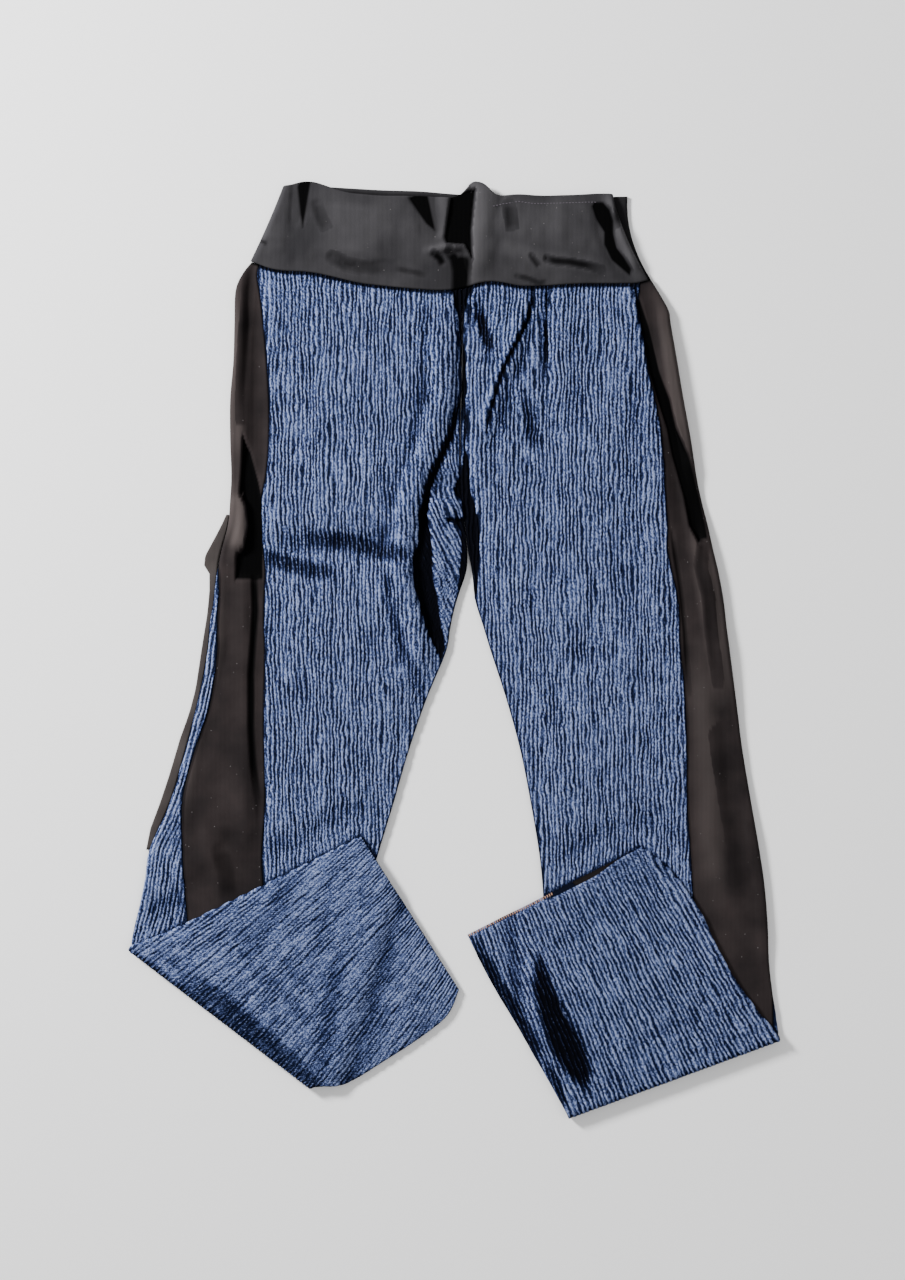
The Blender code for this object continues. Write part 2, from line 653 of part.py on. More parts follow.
def build_leg(side_name, leg):
    """The front, the side panel and the back of one leg."""
    half = SEAM_GAP / 2

    def front_span(s):
        at = np.array([float(min(s, leg.last))])
        return leg.seam("front_seam", at)[0] + half, layer_end(leg, s)

    def side_span(s):
        at = np.array([float(min(s, leg.last))])
        return leg.seam("front_seam", at)[0] - half, leg.seam("back_seam", at)[0] + half

    def back_span(s):
        at = np.array([float(min(s, leg.last))])
        return leg.seam("back_seam", at)[0] - half, -layer_end(leg, s)

    def front_ribs(s, start, end, turn):
        return (start, end) if s <= COVERED_ROW else None

    def back_ribs(s, start, end, turn):
        if s >= leg.flap_start:
            return (min(-turn, start), end)
        return (start, turn) if start > turn + RIB_PITCH and s <= leg.last else None

    def side_ribs(s, start, end, turn):
        return None

    show = uncovered_ribs(leg)
    panel("front_leg_" + side_name, leg, front_span, front_ribs, show, CRINKLE_BLUE)
    panel("side_panel_" + side_name, leg, side_span, side_ribs, show, BLACK_JERSEY)
    panel("back_leg_" + side_name, leg, back_span, back_ribs, show, CRINKLE_BLUE)


def band_plan(u, v, left, right, seam, top):
    """Plan of the waistband: u runs from left to right and v from the seam to the top."""
    bottom_x = left.bottom_x + (right.bottom_x - left.bottom_x) * u
    top_x = left.top_x + (right.top_x - left.top_x) * u
    bow = (left.bow * (1.0 - u) + right.bow * u) * 4.0 * v * (1.0 - v)
    x = bottom_x + (top_x - bottom_x) * v + bow
    bottom_y = curve_y(seam, bottom_x) + SEAM_GAP / 2
    y = bottom_y + (curve_y(top, top_x) - bottom_y) * v
    return x, y


def band_front_mid(u, v):
    """Middle of the front waistband's cloth."""
    x, y = band_plan(u, v, BAND_LEFT, BAND_RIGHT, WAIST_SEAM, BAND_TOP)
    length = BAND_RIGHT.bottom_x - BAND_LEFT.bottom_x
    from_left = u * length
    from_right = (1.0 - u) * length
    flat = WAIST_MID + fold_height(BAND_FOLDS + SHARED_FOLDS, x, y) * smooth_step(v / 0.2 + 0.5)
    lowest = BAND_CLOTH * 1.5 + SEAM_GAP + 0.1
    flat = np.maximum(flat, lowest)
    k = np.clip(from_left / BAND_TURN, 0.0, 1.0)
    left_turn = np.sqrt(1.0 - (1.0 - k) ** 2)
    k = np.clip(from_right / BAND_TURN, 0.0, 1.0)
    right_turn = np.sqrt(1.0 - (1.0 - k) ** 2)
    z = BAND_CLOTH / 2 + (flat - BAND_CLOTH / 2) * left_turn
    z = lowest + (z - lowest) * np.where(from_right < BAND_TURN, right_turn, 1.0)
    return np.stack([x, y, z], -1)


def band_back_mid(u, v):
    """Middle of the back waistband's cloth, flat on the ground."""
    inset = BandEnd(BAND_LEFT.bottom_x + BAND_BACK_INSET, BAND_LEFT.top_x + BAND_BACK_INSET, 1)
    x, y = band_plan(u, v, inset, BAND_BACK_RIGHT, BACK_SEAM, BAND_BACK_TOP)
    return np.stack([x, y, np.full(x.shape, BAND_CLOTH / 2)], -1)


def sheet_wall(name, middle, columns, rows, thickness, finish):
    """A closed wall over a surface of two coordinates from 0 to 1."""
    sides = ([], [])
    d = 0.002
    for row in range(rows + 1):
        v = np.full(len(columns), row / rows)
        u = np.asarray(columns)
        along = middle(np.minimum(u + d, 1.0), v) - middle(np.maximum(u - d, 0.0), v)
        up = middle(u, np.minimum(v + d, 1.0)) - middle(u, np.maximum(v - d, 0.0))
        n = np.cross(along, up)
        n = n / np.linalg.norm(n, axis=-1, keepdims=True)
        if row in (0, rows):
            n[:, 1] = 0.0
            n = n / np.linalg.norm(n, axis=-1, keepdims=True)
        centre = middle(u, v)
        for side, offset in zip(sides, (thickness / 2, -thickness / 2)):
            moved = np.round(centre + n * offset, 4)
            side.append([(float(c), tuple(q)) for c, q in zip(columns, moved)])
    return closed_wall(name, sides[0], sides[1], finish)


def build_waistband():
    """The waistband's front and back."""
    turn = BAND_TURN / (BAND_RIGHT.bottom_x - BAND_LEFT.bottom_x)
    left = [0.0, turn * 0.08, turn * 0.3, turn * 0.65]
    right = [1.0 - turn, 1.0 - turn * 0.4, 1.0]
    span = 1.0 - 2.0 * turn
    middle = [turn + span * k / BAND_COLUMNS for k in range(BAND_COLUMNS)]
    sheet_wall("waistband_front", band_front_mid, left + middle + right,
               BAND_ROWS, BAND_CLOTH, BLACK_JERSEY)
    back = [k / 24 for k in range(25)]
    sheet_wall("waistband_back", band_back_mid, back, 4, BAND_CLOTH, BLACK_JERSEY)


def build_tuck(leg):
    """The black panel's low fold beside the left leg's edge, cloth doubled on itself."""
    low = []
    high = []
    outer_edge = leg.table["outer_x"]
    stations = np.linspace(0.0, float(leg.last), 400)
    edge_x = through(outer_edge, stations)
    edge_y = through(leg.table["outer_y"], stations)
    for row in LEFT_TUCK:
        inner = np.interp(-row.y, -edge_y, edge_x) - TUCK_CLEARANCE
        outer = min(row.outer_x, inner - 1.2)
        rim = outer + min(1.2, (inner - outer) / 3)
        low.append([(0.0, (outer, row.y, 0.5)), (1.0, (rim, row.y, 0.0)),
                    (2.0, (inner, row.y, 0.0))])
        high.append([(0.0, (outer, row.y, TUCK_THICKNESS - 0.6)),
                     (1.0, (rim, row.y, TUCK_THICKNESS)), (2.0, (inner, row.y, TUCK_THICKNESS))])
    return closed_wall("side_panel_left_tuck", high, low, BLACK_JERSEY)


def clear_scene():
    """Remove what the file holds before the trousers are made."""
    for old in list(bpy.data.objects):
        bpy.data.objects.remove(old, do_unlink=True)


clear_scene()
left_leg = Leg(LEFT_LEG, LEFT_FLAP, LEFT_FOLDS, LEFT_FLAP_FOLDS, -1)
right_leg = Leg(RIGHT_LEG, RIGHT_FLAP, RIGHT_FOLDS, RIGHT_FLAP_FOLDS, 1)
build_waistband()
build_leg("left", left_leg)
build_leg("right", right_leg)
build_tuck(left_leg)
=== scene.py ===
# %% [markdown]
# # Pull-on trousers laid flat, hems folded up
# The real trousers are two soft cloths sewn together: a blue crinkle cloth on the fronts and
# backs, and a black jersey for the waistband and the panels down the sides. They lie on a
# table with both lower legs folded up over the shins. Cloth can be modelled as a simulated
# sheet, as a sculpted block or as a surface worked out from its own measurements. Here each
# cut piece is a thin shell from its measurements, because the folds are low and known.

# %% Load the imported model
import math
from collections import namedtuple

import bpy
import numpy as np
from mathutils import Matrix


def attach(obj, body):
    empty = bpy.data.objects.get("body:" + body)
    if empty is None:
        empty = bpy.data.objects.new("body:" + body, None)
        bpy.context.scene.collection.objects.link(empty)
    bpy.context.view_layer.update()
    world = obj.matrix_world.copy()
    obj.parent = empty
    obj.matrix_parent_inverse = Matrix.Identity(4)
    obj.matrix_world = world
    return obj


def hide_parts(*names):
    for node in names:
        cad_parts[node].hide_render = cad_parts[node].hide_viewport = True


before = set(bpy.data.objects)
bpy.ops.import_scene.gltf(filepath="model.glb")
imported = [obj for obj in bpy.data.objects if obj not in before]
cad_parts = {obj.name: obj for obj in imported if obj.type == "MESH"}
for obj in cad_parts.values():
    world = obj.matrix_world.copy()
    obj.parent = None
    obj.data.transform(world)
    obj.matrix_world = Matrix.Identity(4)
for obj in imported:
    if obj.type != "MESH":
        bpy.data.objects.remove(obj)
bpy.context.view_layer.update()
print("nodes:", sorted(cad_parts))

# %% [markdown]
# The camera hangs straight over the trousers, as in the photograph. A long lens keeps the
# edges of the cloth from leaning. The floor is a plain pale sheet, and a large soft lamp
# at the upper left makes every rib cast a short shadow to its right.

# %% Camera, floor and lamps
MM = 0.001
CAMERA_HEIGHT = 2.4
VIEW_HEIGHT = 1.216
VIEW_CENTRE = (-0.0017, 0.0096)
SENSOR = 36.0
FLOOR_DROP = 0.0004


def new_material(name):
    """A new material, its nodes and its shader."""
    material = bpy.data.materials.new(name)
    material.use_nodes = True
    return material, material.node_tree, material.node_tree.nodes["Principled BSDF"]


bpy.ops.object.select_all(action="DESELECT")
bpy.ops.object.camera_add(location=(VIEW_CENTRE[0], VIEW_CENTRE[1], CAMERA_HEIGHT), rotation=(0, 0, 0))
camera = bpy.context.object
camera.data.sensor_width = SENSOR
camera.data.lens = SENSOR * CAMERA_HEIGHT / VIEW_HEIGHT
camera.data.clip_end = 50.0
bpy.context.scene.camera = camera

bpy.ops.mesh.primitive_plane_add(size=9.0, location=(0, 0, -FLOOR_DROP))
floor = bpy.context.object
floor.name = "floor"
paper, _, paper_shader = new_material("pale_floor")
paper_shader.inputs["Base Color"].default_value = (0.93, 0.93, 0.935, 1)
paper_shader.inputs["Roughness"].default_value = 0.9
floor.data.materials.append(paper)


def add_lamp(name, place, size, power, aim=(0.0, 0.0, 0.0)):
    """A square soft lamp that faces a point."""
    bpy.ops.object.light_add(type="AREA", location=place)
    lamp = bpy.context.object
    lamp.name = name
    lamp.data.size = size
    lamp.data.energy = power
    lean_x = math.atan2(math.hypot(place[0] - aim[0], place[1] - aim[1]), place[2] - aim[2])
    turn_z = math.atan2(place[0] - aim[0], -(place[1] - aim[1]))
    lamp.rotation_euler = (lean_x, 0.0, turn_z)


add_lamp("key_lamp", (-1.9, 1.25, 1.25), 0.5, 170.0)
add_lamp("fill_lamp", (1.2, -0.6, 2.2), 2.0, 16.0)
world = bpy.data.worlds.new("studio")
world.use_nodes = True
world.node_tree.nodes["Background"].inputs["Color"].default_value = (1, 1, 1, 1)
world.node_tree.nodes["Background"].inputs["Strength"].default_value = 0.55
bpy.context.scene.world = world
print("lens", round(camera.data.lens, 1), "mm")

# %% [markdown]
# Both cloths have a soft nap, and both have picked up a little lint. That effect is built
# once as a node group and placed in each cloth with its own strength.

# %% A shared group for nap and lint
def add_node(tree, kind, values=(), **settings):
    """A node with its settings and its sockets' values."""
    node = tree.nodes.new(kind)
    for key, value in settings.items():
        setattr(node, key, value)
    for socket, value in values:
        node.inputs[socket].default_value = value
    return node


def link(tree, source, output, target, entry):
    """Join a node's output to another node's input."""
    tree.links.new(source.outputs[output], target.inputs[entry])


def maths(tree, operation, first, second):
    """A maths node on a node's output and on a number or another node's output."""
    node = add_node(tree, "ShaderNodeMath", operation=operation)
    link(tree, *first, node, 0)
    if isinstance(second, tuple):
        link(tree, *second, node, 1)
    else:
        node.inputs[1].default_value = second
    return node


def mixed(tree, mask, base, colour):
    """A colour laid over a base by a mask, each of these two a node and its output."""
    node = add_node(tree, "ShaderNodeMix", [(7, (*colour, 1.0))], data_type="RGBA")
    link(tree, *mask, node, 0)
    link(tree, *base, node, 6)
    return node


def build_nap_group():
    """Fine nap from place: a height for bump, and a mask for specks of lint."""
    group = bpy.data.node_groups.new("cloth_nap", "ShaderNodeTree")
    for name, default in (("Nap size", 900.0), ("Lint size", 330.0), ("Lint amount", 0.4)):
        socket = group.interface.new_socket(name, in_out="INPUT", socket_type="NodeSocketFloat")
        socket.default_value = default
    group.interface.new_socket("Nap", in_out="OUTPUT", socket_type="NodeSocketFloat")
    group.interface.new_socket("Lint", in_out="OUTPUT", socket_type="NodeSocketFloat")
    start = add_node(group, "NodeGroupInput")
    end = add_node(group, "NodeGroupOutput")
    place = add_node(group, "ShaderNodeTexCoord")
    nap = add_node(group, "ShaderNodeTexNoise", [("Detail", 3.0), ("Roughness", 0.65)])
    link(group, place, "Object", nap, "Vector")
    link(group, start, "Nap size", nap, "Scale")
    link(group, nap, "Fac", end, "Nap")
    specks = add_node(group, "ShaderNodeTexVoronoi", [("Randomness", 1.0)])
    link(group, place, "Object", specks, "Vector")
    link(group, start, "Lint size", specks, "Scale")
    small = add_node(group, "ShaderNodeMapRange", [("From Min", 0.16), ("From Max", 0.08)])
    link(group, specks, "Distance", small, "Value")
    chance = add_node(group, "ShaderNodeSeparateColor")
    link(group, specks, "Color", chance, "Color")
    rare = add_node(group, "ShaderNodeMapRange", [("From Min", 0.94), ("From Max", 0.97)])
    link(group, chance, "Red", rare, "Value")
    both = maths(group, "MULTIPLY", (small, "Result"), (rare, "Result"))
    scaled = maths(group, "MULTIPLY", (both, 0), (start, "Lint amount"))
    link(group, scaled, 0, end, "Lint")
    return group


nap_group = build_nap_group()
print("group", nap_group.name)

# %% [markdown]
# The blue cloth is set in wandering crinkles. Its colour is painted light and shade by rib
# height: pale blue on the crests and near black in the furrows. The mesh carries three
# facts at each point: how high the rib stands, how much painted shade it holds in hollows,
# creases and seams, and a map of the cloth in millimetres across and along the ribs. The
# material mixes its colours from them.

# %% The crinkle cloth's material
def build_crinkle():
    """Blue crinkle cloth: painted light on the crests, painted shade in the furrows, and a fine knotted
    yarn.
    """
    material, tree, shader = new_material("crinkle_cloth_blue")
    shader.inputs["Roughness"].default_value = 0.85
    shader.inputs["Specular IOR Level"].default_value = 0.04
    rib = add_node(tree, "ShaderNodeAttribute", attribute_name="rib")
    painted_shading = add_node(tree, "ShaderNodeAttribute", attribute_name="painted_shading")
    cloth_map = add_node(tree, "ShaderNodeUVMap", uv_map="cloth")
    yarn_place = add_node(tree, "ShaderNodeMapping",
                          [("Scale", (1.0, 0.50, 1.0)), ("Rotation", (0, 0, 0.35))])
    link(tree, cloth_map, "UV", yarn_place, "Vector")
    yarn = add_node(tree, "ShaderNodeTexNoise", [("Scale", 900.0), ("Detail", 2.0), ("Roughness", 0.7)])
    link(tree, yarn_place, "Vector", yarn, "Vector")
    grain = maths(tree, "ADD", (yarn, "Fac"), -0.5)
    spread = maths(tree, "MULTIPLY", (grain, 0), 2.6)
    lit = maths(tree, "ADD", (rib, "Fac"), (spread, 0))
    # Painted shade: deep painted shading pulls the colour down the ramp.
    sunk = maths(tree, "MULTIPLY", (painted_shading, "Fac"), 0.42)
    shown = maths(tree, "SUBTRACT", (lit, 0), (sunk, 0))
    # Painted light and shade by rib height, from near black in the furrows to pale blue on the crests.
    ramp = add_node(tree, "ShaderNodeValToRGB")
    stops = [(0.0, (0.002, 0.004, 0.014)), (0.25, (0.007, 0.011, 0.038)), (0.50, (0.030, 0.045, 0.116)),
             (0.75, (0.092, 0.124, 0.244)), (1.0, (0.225, 0.273, 0.452))]
    ramp.color_ramp.elements[0].position = stops[0][0]
    ramp.color_ramp.elements[1].position = stops[-1][0]
    for position, _ in stops[1:-1]:
        ramp.color_ramp.elements.new(position)
    for element, (_, colour) in zip(ramp.color_ramp.elements, stops):
        element.color = (*colour, 1.0)
    link(tree, shown, 0, ramp, "Fac")
    nap = add_node(tree, "ShaderNodeGroup", node_tree=nap_group)
    nap.inputs["Nap size"].default_value = 700.0
    nap.inputs["Lint amount"].default_value = 0.25
    lint = mixed(tree, (nap, "Lint"), (ramp, "Color"), (0.75, 0.78, 0.85))
    # Painted shade: the colour goes near black where the painted shading is deep.
    depth = add_node(tree, "ShaderNodeMapRange", [("From Min", 0.7), ("From Max", 1.9)])
    link(tree, painted_shading, "Fac", depth, "Value")
    shaded = mixed(tree, (depth, "Result"), (lint, 2), (0.0004, 0.0006, 0.0020))
    link(tree, shaded, 2, shader, "Base Color")
    bump = add_node(tree, "ShaderNodeBump", [("Strength", 0.55), ("Distance", 0.0006)])
    link(tree, lit, 0, bump, "Height")
    link(tree, bump, "Normal", shader, "Normal")
    return material


crinkle_blue = build_crinkle()
print("material", crinkle_blue.name)

# %% [markdown]
# The black jersey is a fine smooth knit. Its colour carries painted shade, near black, in
# its hollows and a painted highlight, a warm grey, on its raised crests, so its colour
# follows how high or low each point lies.

# %% The black jersey's material
def build_jersey(name, dark, light, highlight_colour):
    """Black jersey with a fine knit, rubbed patches, a painted highlight on crests, painted shade in hollows
    and lint.
    """
    material, tree, shader = new_material(name)
    shader.inputs["Specular IOR Level"].default_value = 0.03
    place = add_node(tree, "ShaderNodeTexCoord")
    worn = add_node(tree, "ShaderNodeTexNoise", [("Scale", 24.0), ("Detail", 3.0)])
    link(tree, place, "Object", worn, "Vector")
    tone = add_node(tree, "ShaderNodeValToRGB")
    tone.color_ramp.elements[0].position = 0.35
    tone.color_ramp.elements[0].color = (*dark, 1.0)
    tone.color_ramp.elements[1].position = 0.70
    tone.color_ramp.elements[1].color = (*light, 1.0)
    link(tree, worn, "Fac", tone, "Fac")
    nap = add_node(tree, "ShaderNodeGroup", node_tree=nap_group)
    nap.inputs["Nap size"].default_value = 1300.0
    nap.inputs["Lint amount"].default_value = 0.5
    lint = mixed(tree, (nap, "Lint"), (tone, "Color"), (0.30, 0.28, 0.28))
    # Painted shading: a painted highlight on raised crests, and painted shade, near black, in hollows,
    # creases and seams.
    painted_shading = add_node(tree, "ShaderNodeAttribute", attribute_name="painted_shading")
    depth = add_node(tree, "ShaderNodeMapRange", [("From Min", 0.0), ("From Max", 1.9)])
    link(tree, painted_shading, "Fac", depth, "Value")
    raised = add_node(tree, "ShaderNodeMapRange", [("From Min", 0.0), ("From Max", -1.0)])
    link(tree, painted_shading, "Fac", raised, "Value")
    crest_highlight = mixed(tree, (raised, "Result"), (lint, 2), highlight_colour)
    shaded = mixed(tree, (depth, "Result"), (crest_highlight, 2), (0.0002, 0.0002, 0.0003))
    link(tree, shaded, 2, shader, "Base Color")
    rough = add_node(tree, "ShaderNodeMapRange", [("To Min", 0.62), ("To Max", 0.82)])
    link(tree, nap, "Nap", rough, "Value")
    link(tree, rough, "Result", shader, "Roughness")
    knit = add_node(tree, "ShaderNodeTexWave", [("Scale", 260.0), ("Distortion", 1.2), ("Detail", 1.0)])
    link(tree, place, "Object", knit, "Vector")
    height = maths(tree, "ADD", (nap, "Nap"), (knit, "Fac"))
    bump = add_node(tree, "ShaderNodeBump", [("Strength", 0.35), ("Distance", 0.00025)])
    link(tree, height, 0, bump, "Height")
    link(tree, bump, "Normal", shader, "Normal")
    return material


# The third colour of each jersey is its painted highlight on raised crests.
band_jersey = build_jersey("black_jersey_band", (0.0195, 0.0188, 0.0208), (0.0335, 0.0322, 0.0348),
                           (0.0840, 0.0810, 0.0860))
side_jersey = build_jersey("black_jersey_sides", (0.0135, 0.0110, 0.0114), (0.0260, 0.0204, 0.0204),
                           (0.0640, 0.0530, 0.0510))
# Painted light: a paler copy of the panels' jersey, as if lit.
fold_jersey_painted_lit = build_jersey("black_jersey_fold_painted_lit", (0.0340, 0.0290, 0.0280), (0.0520, 0.0450, 0.0430),
                           (0.0620, 0.0540, 0.0520))
print("materials", band_jersey.name, side_jersey.name, fold_jersey_painted_lit.name)

# %% [markdown]
# Each leg is a flattened tube. A point on it has two coordinates: the station s, which runs
# down the leg, round the fold and back up the folded hem, and the girth p, which runs round
# the tube from 0 at the outer edge, positive over the front and negative under the back.
# The rows below are measured across each leg, in millimetres.

# %% Measured rows
CLOTH = 1.5
BAND_CLOTH = 2.2
SEAM_GAP = 0.3
LAYER_STEP = 2.2
BACK_MID = CLOTH / 2
FRONT_LOW_MID = BACK_MID + CLOTH + SEAM_GAP + 0.05
FRONT_PRESSED_MID = BACK_MID + LAYER_STEP
FLAP_UNDER_MID = FRONT_PRESSED_MID + LAYER_STEP
FLAP_TOP_MID = FLAP_UNDER_MID + LAYER_STEP
FOLD_LIFT = 2.0
FOLD_RELAX = 20.0
FOLD_AXIS = (BACK_MID + FLAP_TOP_MID + FOLD_LIFT) / 2
FOLD_REACH = FOLD_AXIS
FRONT_LOFT = 2.8
FLAP_LOFT = 1.0
WAIST_MID = 4.6
COVER_MARGIN = 24.0
COVER_EASE = 26.0
DROP_MARGIN = 16.0
DROP_EASE = 20.0
CROTCH_ROW = 10
CENTRE_X = 3.56
CENTRE_Y = -0.57

LegRow = namedtuple("LegRow", "outer_x outer_y inner_x inner_y front_seam back_seam")
FlapRow = namedtuple("FlapRow", "outer_x outer_y inner_x inner_y")


def make_rows(kind, *rows):
    """Rows of one kind from plain tuples."""
    return [kind(*row) for row in rows]


LEFT_LEG = make_rows(
    LegRow,
    (-189, 367, 11, 342, 8, -19), (-197, 357, 11, 330, 14, -21), (-204, 340, 11, 318, 24, -21),
    (-205, 308, 11, 299, 29, -15), (-206, 273, 11, 272, 33, -11), (-209, 237, 10, 237, 38, -8),
    (-209, 199, 9, 199, 38, -8), (-208, 166, 9, 166, 34, -10), (-209, 142, 11, 142, 31, -13),
    (-211, 118, 14, 118, 34, -10), (-217, 95, 16, 95, 40, -5), (-221, 74, 15, 74, 46, 2),
    (-224, 47, 6, 47, 48, 5), (-228, 21, 0, 21, 52, 8), (-230, -2, -4, -2, 55, 10),
    (-239, -48, -23, -48, 63, 13), (-251, -95, -39, -95, 75, 10), (-265, -143, -54, -146, 90, 12),
    (-285, -190, -71, -202, 107, 32), (-289, -215, -84, -249, 114, 38), (-294, -240, -97, -293, 121, 46),
    (-300, -263, -114, -347, 135, 55), (-306, -285, -133, -417, 152, 63),
)
RIGHT_LEG = make_rows(
    LegRow,
    (190, 351, 11, 342, 11, -13), (199, 336, 11, 332, 21, -15), (207, 321, 11, 318, 29, -13),
    (209, 308, 11, 299, 29, -13), (215, 273, 11, 272, 31, -12), (221, 237, 10, 237, 29, -13),
    (228, 199, 9, 199, 29, -13), (233, 166, 9, 166, 31, -11), (238, 142, 11, 142, 34, -10),
    (244, 118, 14, 118, 38, -8), (249, 95, 16, 95, 44, -7), (254, 74, 20, 74, 45, -7),
    (259, 47, 23, 47, 44, -7), (262, 21, 31, 21, 46, -7), (265, -2, 38, -2, 48, -7),
    (271, -48, 53, -48, 49, -7), (277, -95, 66, -95, 53, -7), (285, -143, 76, -145, 61, -7),
    (293, -190, 85, -200, 66, -8), (298, -224, 89, -246, 69, -8), (301, -262, 94, -295, 69, -8),
    (303, -304, 100, -357, 70, -3), (313, -371, 112, -445, 74, 5),
)
LEFT_FLAP = make_rows(
    FlapRow,
    (-306, -285, -133, -417), (-262, -265, -100, -412), (-205, -237, -62, -390), (-148, -209, -24, -365),
    (-110, -190, -2, -346), (-85, -177, 8, -323),
)
RIGHT_FLAP = make_rows(
    FlapRow,
    (313, -371, 112, -445), (286, -336, 93, -409), (258, -293, 66, -362), (234, -244, 42, -322),
    (207, -208, 26, -292), (181, -187, 16, -271),
)
print(len(LEFT_LEG), "rows a leg and", len(LEFT_FLAP), "on a folded hem")

# %% [markdown]
# The creases were laid in one by one. Each is a line of points with a rise and a width, in
# millimetres: a ridge where the rise is positive, and a trough where it is negative.

# %% Creases placed one by one
Fold = namedtuple("Fold", "name rise width line")

SHARED_FOLDS = [
    Fold("front_valley", -2.0, 9, [(11, 420), (11, 199), (15, 123), (17, 76)]),
]
LEFT_FOLDS = make_rows(
    Fold,
    ("hip_trough", -2.6, 17, [(-173, 104), (-100, 96), (-37, 104)]),
    ("hip_rise", 2.2, 34, [(-160, 148), (-100, 146), (-60, 160)]),
    ("thigh_rise", 1.8, 36, [(-160, 48), (-100, 48), (-50, 52)]),
    ("inner_roll", 6.0, 12, [(-6, 337), (-8, 237), (-28, 171), (-44, 118), (-48, 84)]),
    ("thigh_roll", 5.5, 11, [(-48, 95), (-44, 55), (-28, 4), (-14, -20)]),
    ("tongue", 3.5, 8, [(-18, 137), (8, 131)]),
    ("side_ridge", 2.6, 10, [(-199, 338), (-202, 171)]),
    ("side_valley", -2.4, 10, [(-186, 351), (-184, 171)]),
    ("side_bulge", 4.5, 11, [(-201, 150), (-199, 92)]),
    ("seam_trough", -2.2, 9, [(-184, 171), (-183, 71), (-182, -238)]),
    ("hem_hollow", -2.2, 14, [(-212, -165), (-206, -235)]),
    ("strip_edge", 1.4, 7, [(-219, 70), (-222, 0), (-245, -95), (-253, -160)]),
)
RIGHT_FOLDS = make_rows(
    Fold,
    ("curved_crease", 3.0, 8, [(74, 340), (60, 285), (41, 237), (28, 190)]),
    ("curved_shade", -1.2, 8, [(84, 340), (70, 285), (50, 237), (37, 186)]),
    ("straight_crease", -1.6, 7, [(91, 342), (90, 300), (91, 256)]),
    ("straight_rise", 1.8, 10, [(102, 338), (102, 226)]),
    ("crotch_hollow", -1.6, 14, [(28, 330), (36, 262)]),
    ("hip_rise", 2.0, 30, [(140, 240), (130, 150), (120, 60)]),
    ("knee_rise", 1.4, 30, [(130, 0), (150, -120)]),
    ("side_ridge", 3.4, 9, [(197, 336), (222, 190), (262, -48)]),
    ("side_valley", -2.2, 8, [(186, 346), (206, 209), (226, 85)]),
    ("outer_valley", -1.8, 8, [(226, 205), (244, 85)]),
    ("lower_rise", 2.2, 12, [(238, 0), (250, -238)]),
    ("lower_band", -1.3, 13, [(270, -48), (283, -300)]),
)
LEFT_FLAP_FOLDS = make_rows(
    Fold,
    ("flap_trough", -2.0, 15, [(-196, -268), (-114, -361)]),
    ("flap_rise", 2.6, 30, [(-90, -240), (-30, -330)]),
    ("flap_edge_rise", 2.0, 20, [(-250, -285), (-150, -378)]),
)
RIGHT_FLAP_FOLDS = make_rows(
    Fold,
    ("flap_hollow", -2.4, 14, [(66, -296), (82, -361), (104, -423)]),
    ("flap_edge_roll", 3.4, 11, [(40, -310), (62, -361), (94, -420)]),
    ("flap_rise", 2.2, 32, [(130, -260), (190, -370)]),
)
BAND_FOLDS = make_rows(
    Fold,
    ("left_groove", -1.6, 6, [(-143, 446), (-149, 399)]),
    ("left_rise", 2.0, 14, [(-166, 430), (-172, 385)]),
    ("middle_rise", 2.2, 30, [(-90, 425), (-95, 370)]),
    ("dip", -2.0, 11, [(-21, 436), (-17, 389)]),
    ("dip_lip", 2.6, 8, [(-6, 436), (-4, 385)]),
    ("centre_valley", -2.2, 8, [(11, 440), (11, 350)]),
    ("peak", 5.6, 15, [(27, 448), (25, 400), (20, 352)]),
    ("pinch", 3.2, 3.6, [(-22, 378), (-5, 381.4), (14, 381)]),
    ("face_rise", 2.4, 20, [(42, 414), (70, 404), (118, 402)]),
    ("long_wrinkle", 1.8, 7, [(42, 382), (95, 369), (152, 362)]),
    ("small_wrinkle", -1.4, 6, [(-76, 364), (-48, 361)]),
    ("right_valley", -2.0, 10, [(141, 432), (152, 389), (166, 358)]),
    ("right_ridge", 5.0, 8, [(152, 434), (160, 399), (178, 356)]),
)
print(len(LEFT_FOLDS) + len(RIGHT_FOLDS) + len(BAND_FOLDS), "folds")

# %% [markdown]
# Finer creases are thin and deep, so little light reaches them. Each has a rise, a half
# width and a darkness, which the materials use for painted shade at the bottom of a crease.
# A pit is a wider place, given by its outline, where the cloth drops under a raised fold
# and holds a painted shadow.

# %% Thin creases and pits
Crease = namedtuple("Crease", "name rise width dark line")
Pit = namedtuple("Pit", "name dark soft outline")

LEFT_CREASES = make_rows(
    Crease,
    ("centre_line", -2.2, 4.0, 2.2, [(7, 343), (9, 305), (11, 277), (12, 256), (12, 235), (14, 221),
        (14, 210), (13, 193), (14, 172)]),
    ("roll_shadow", -2.4, 5.2, 2.5, [(8, 239), (4, 221), (0, 203), (-7, 187), (-15, 171), (-21, 154),
        (-26, 138), (-28, 122)]),
    ("side_dark", -1.6, 6.5, 0.9, [(-190, 368), (-193, 316), (-196, 276), (-198, 207)]),
    ("panel_line", -1.8, 4.6, 1.7, [(-186, 74), (-186, 63), (-185, 37), (-189, -24), (-189, -73),
        (-187, -109), (-182, -146), (-180, -190)]),
    ("panel_hollow", -1.6, 10.0, 1.0, [(-218, -190), (-213, -211), (-209, -243)]),
    ("hip_shade", -1.2, 9.0, 1.35, [(-184, 90), (-160, 83), (-143, 78), (-118, 73), (-104, 71)]),
    ("hip_shade_2", -1.2, 10.0, 1.35, [(-130, 106), (-112, 103), (-95, 102), (-72, 95), (-44, 89),
        (-30, 88)]),
)
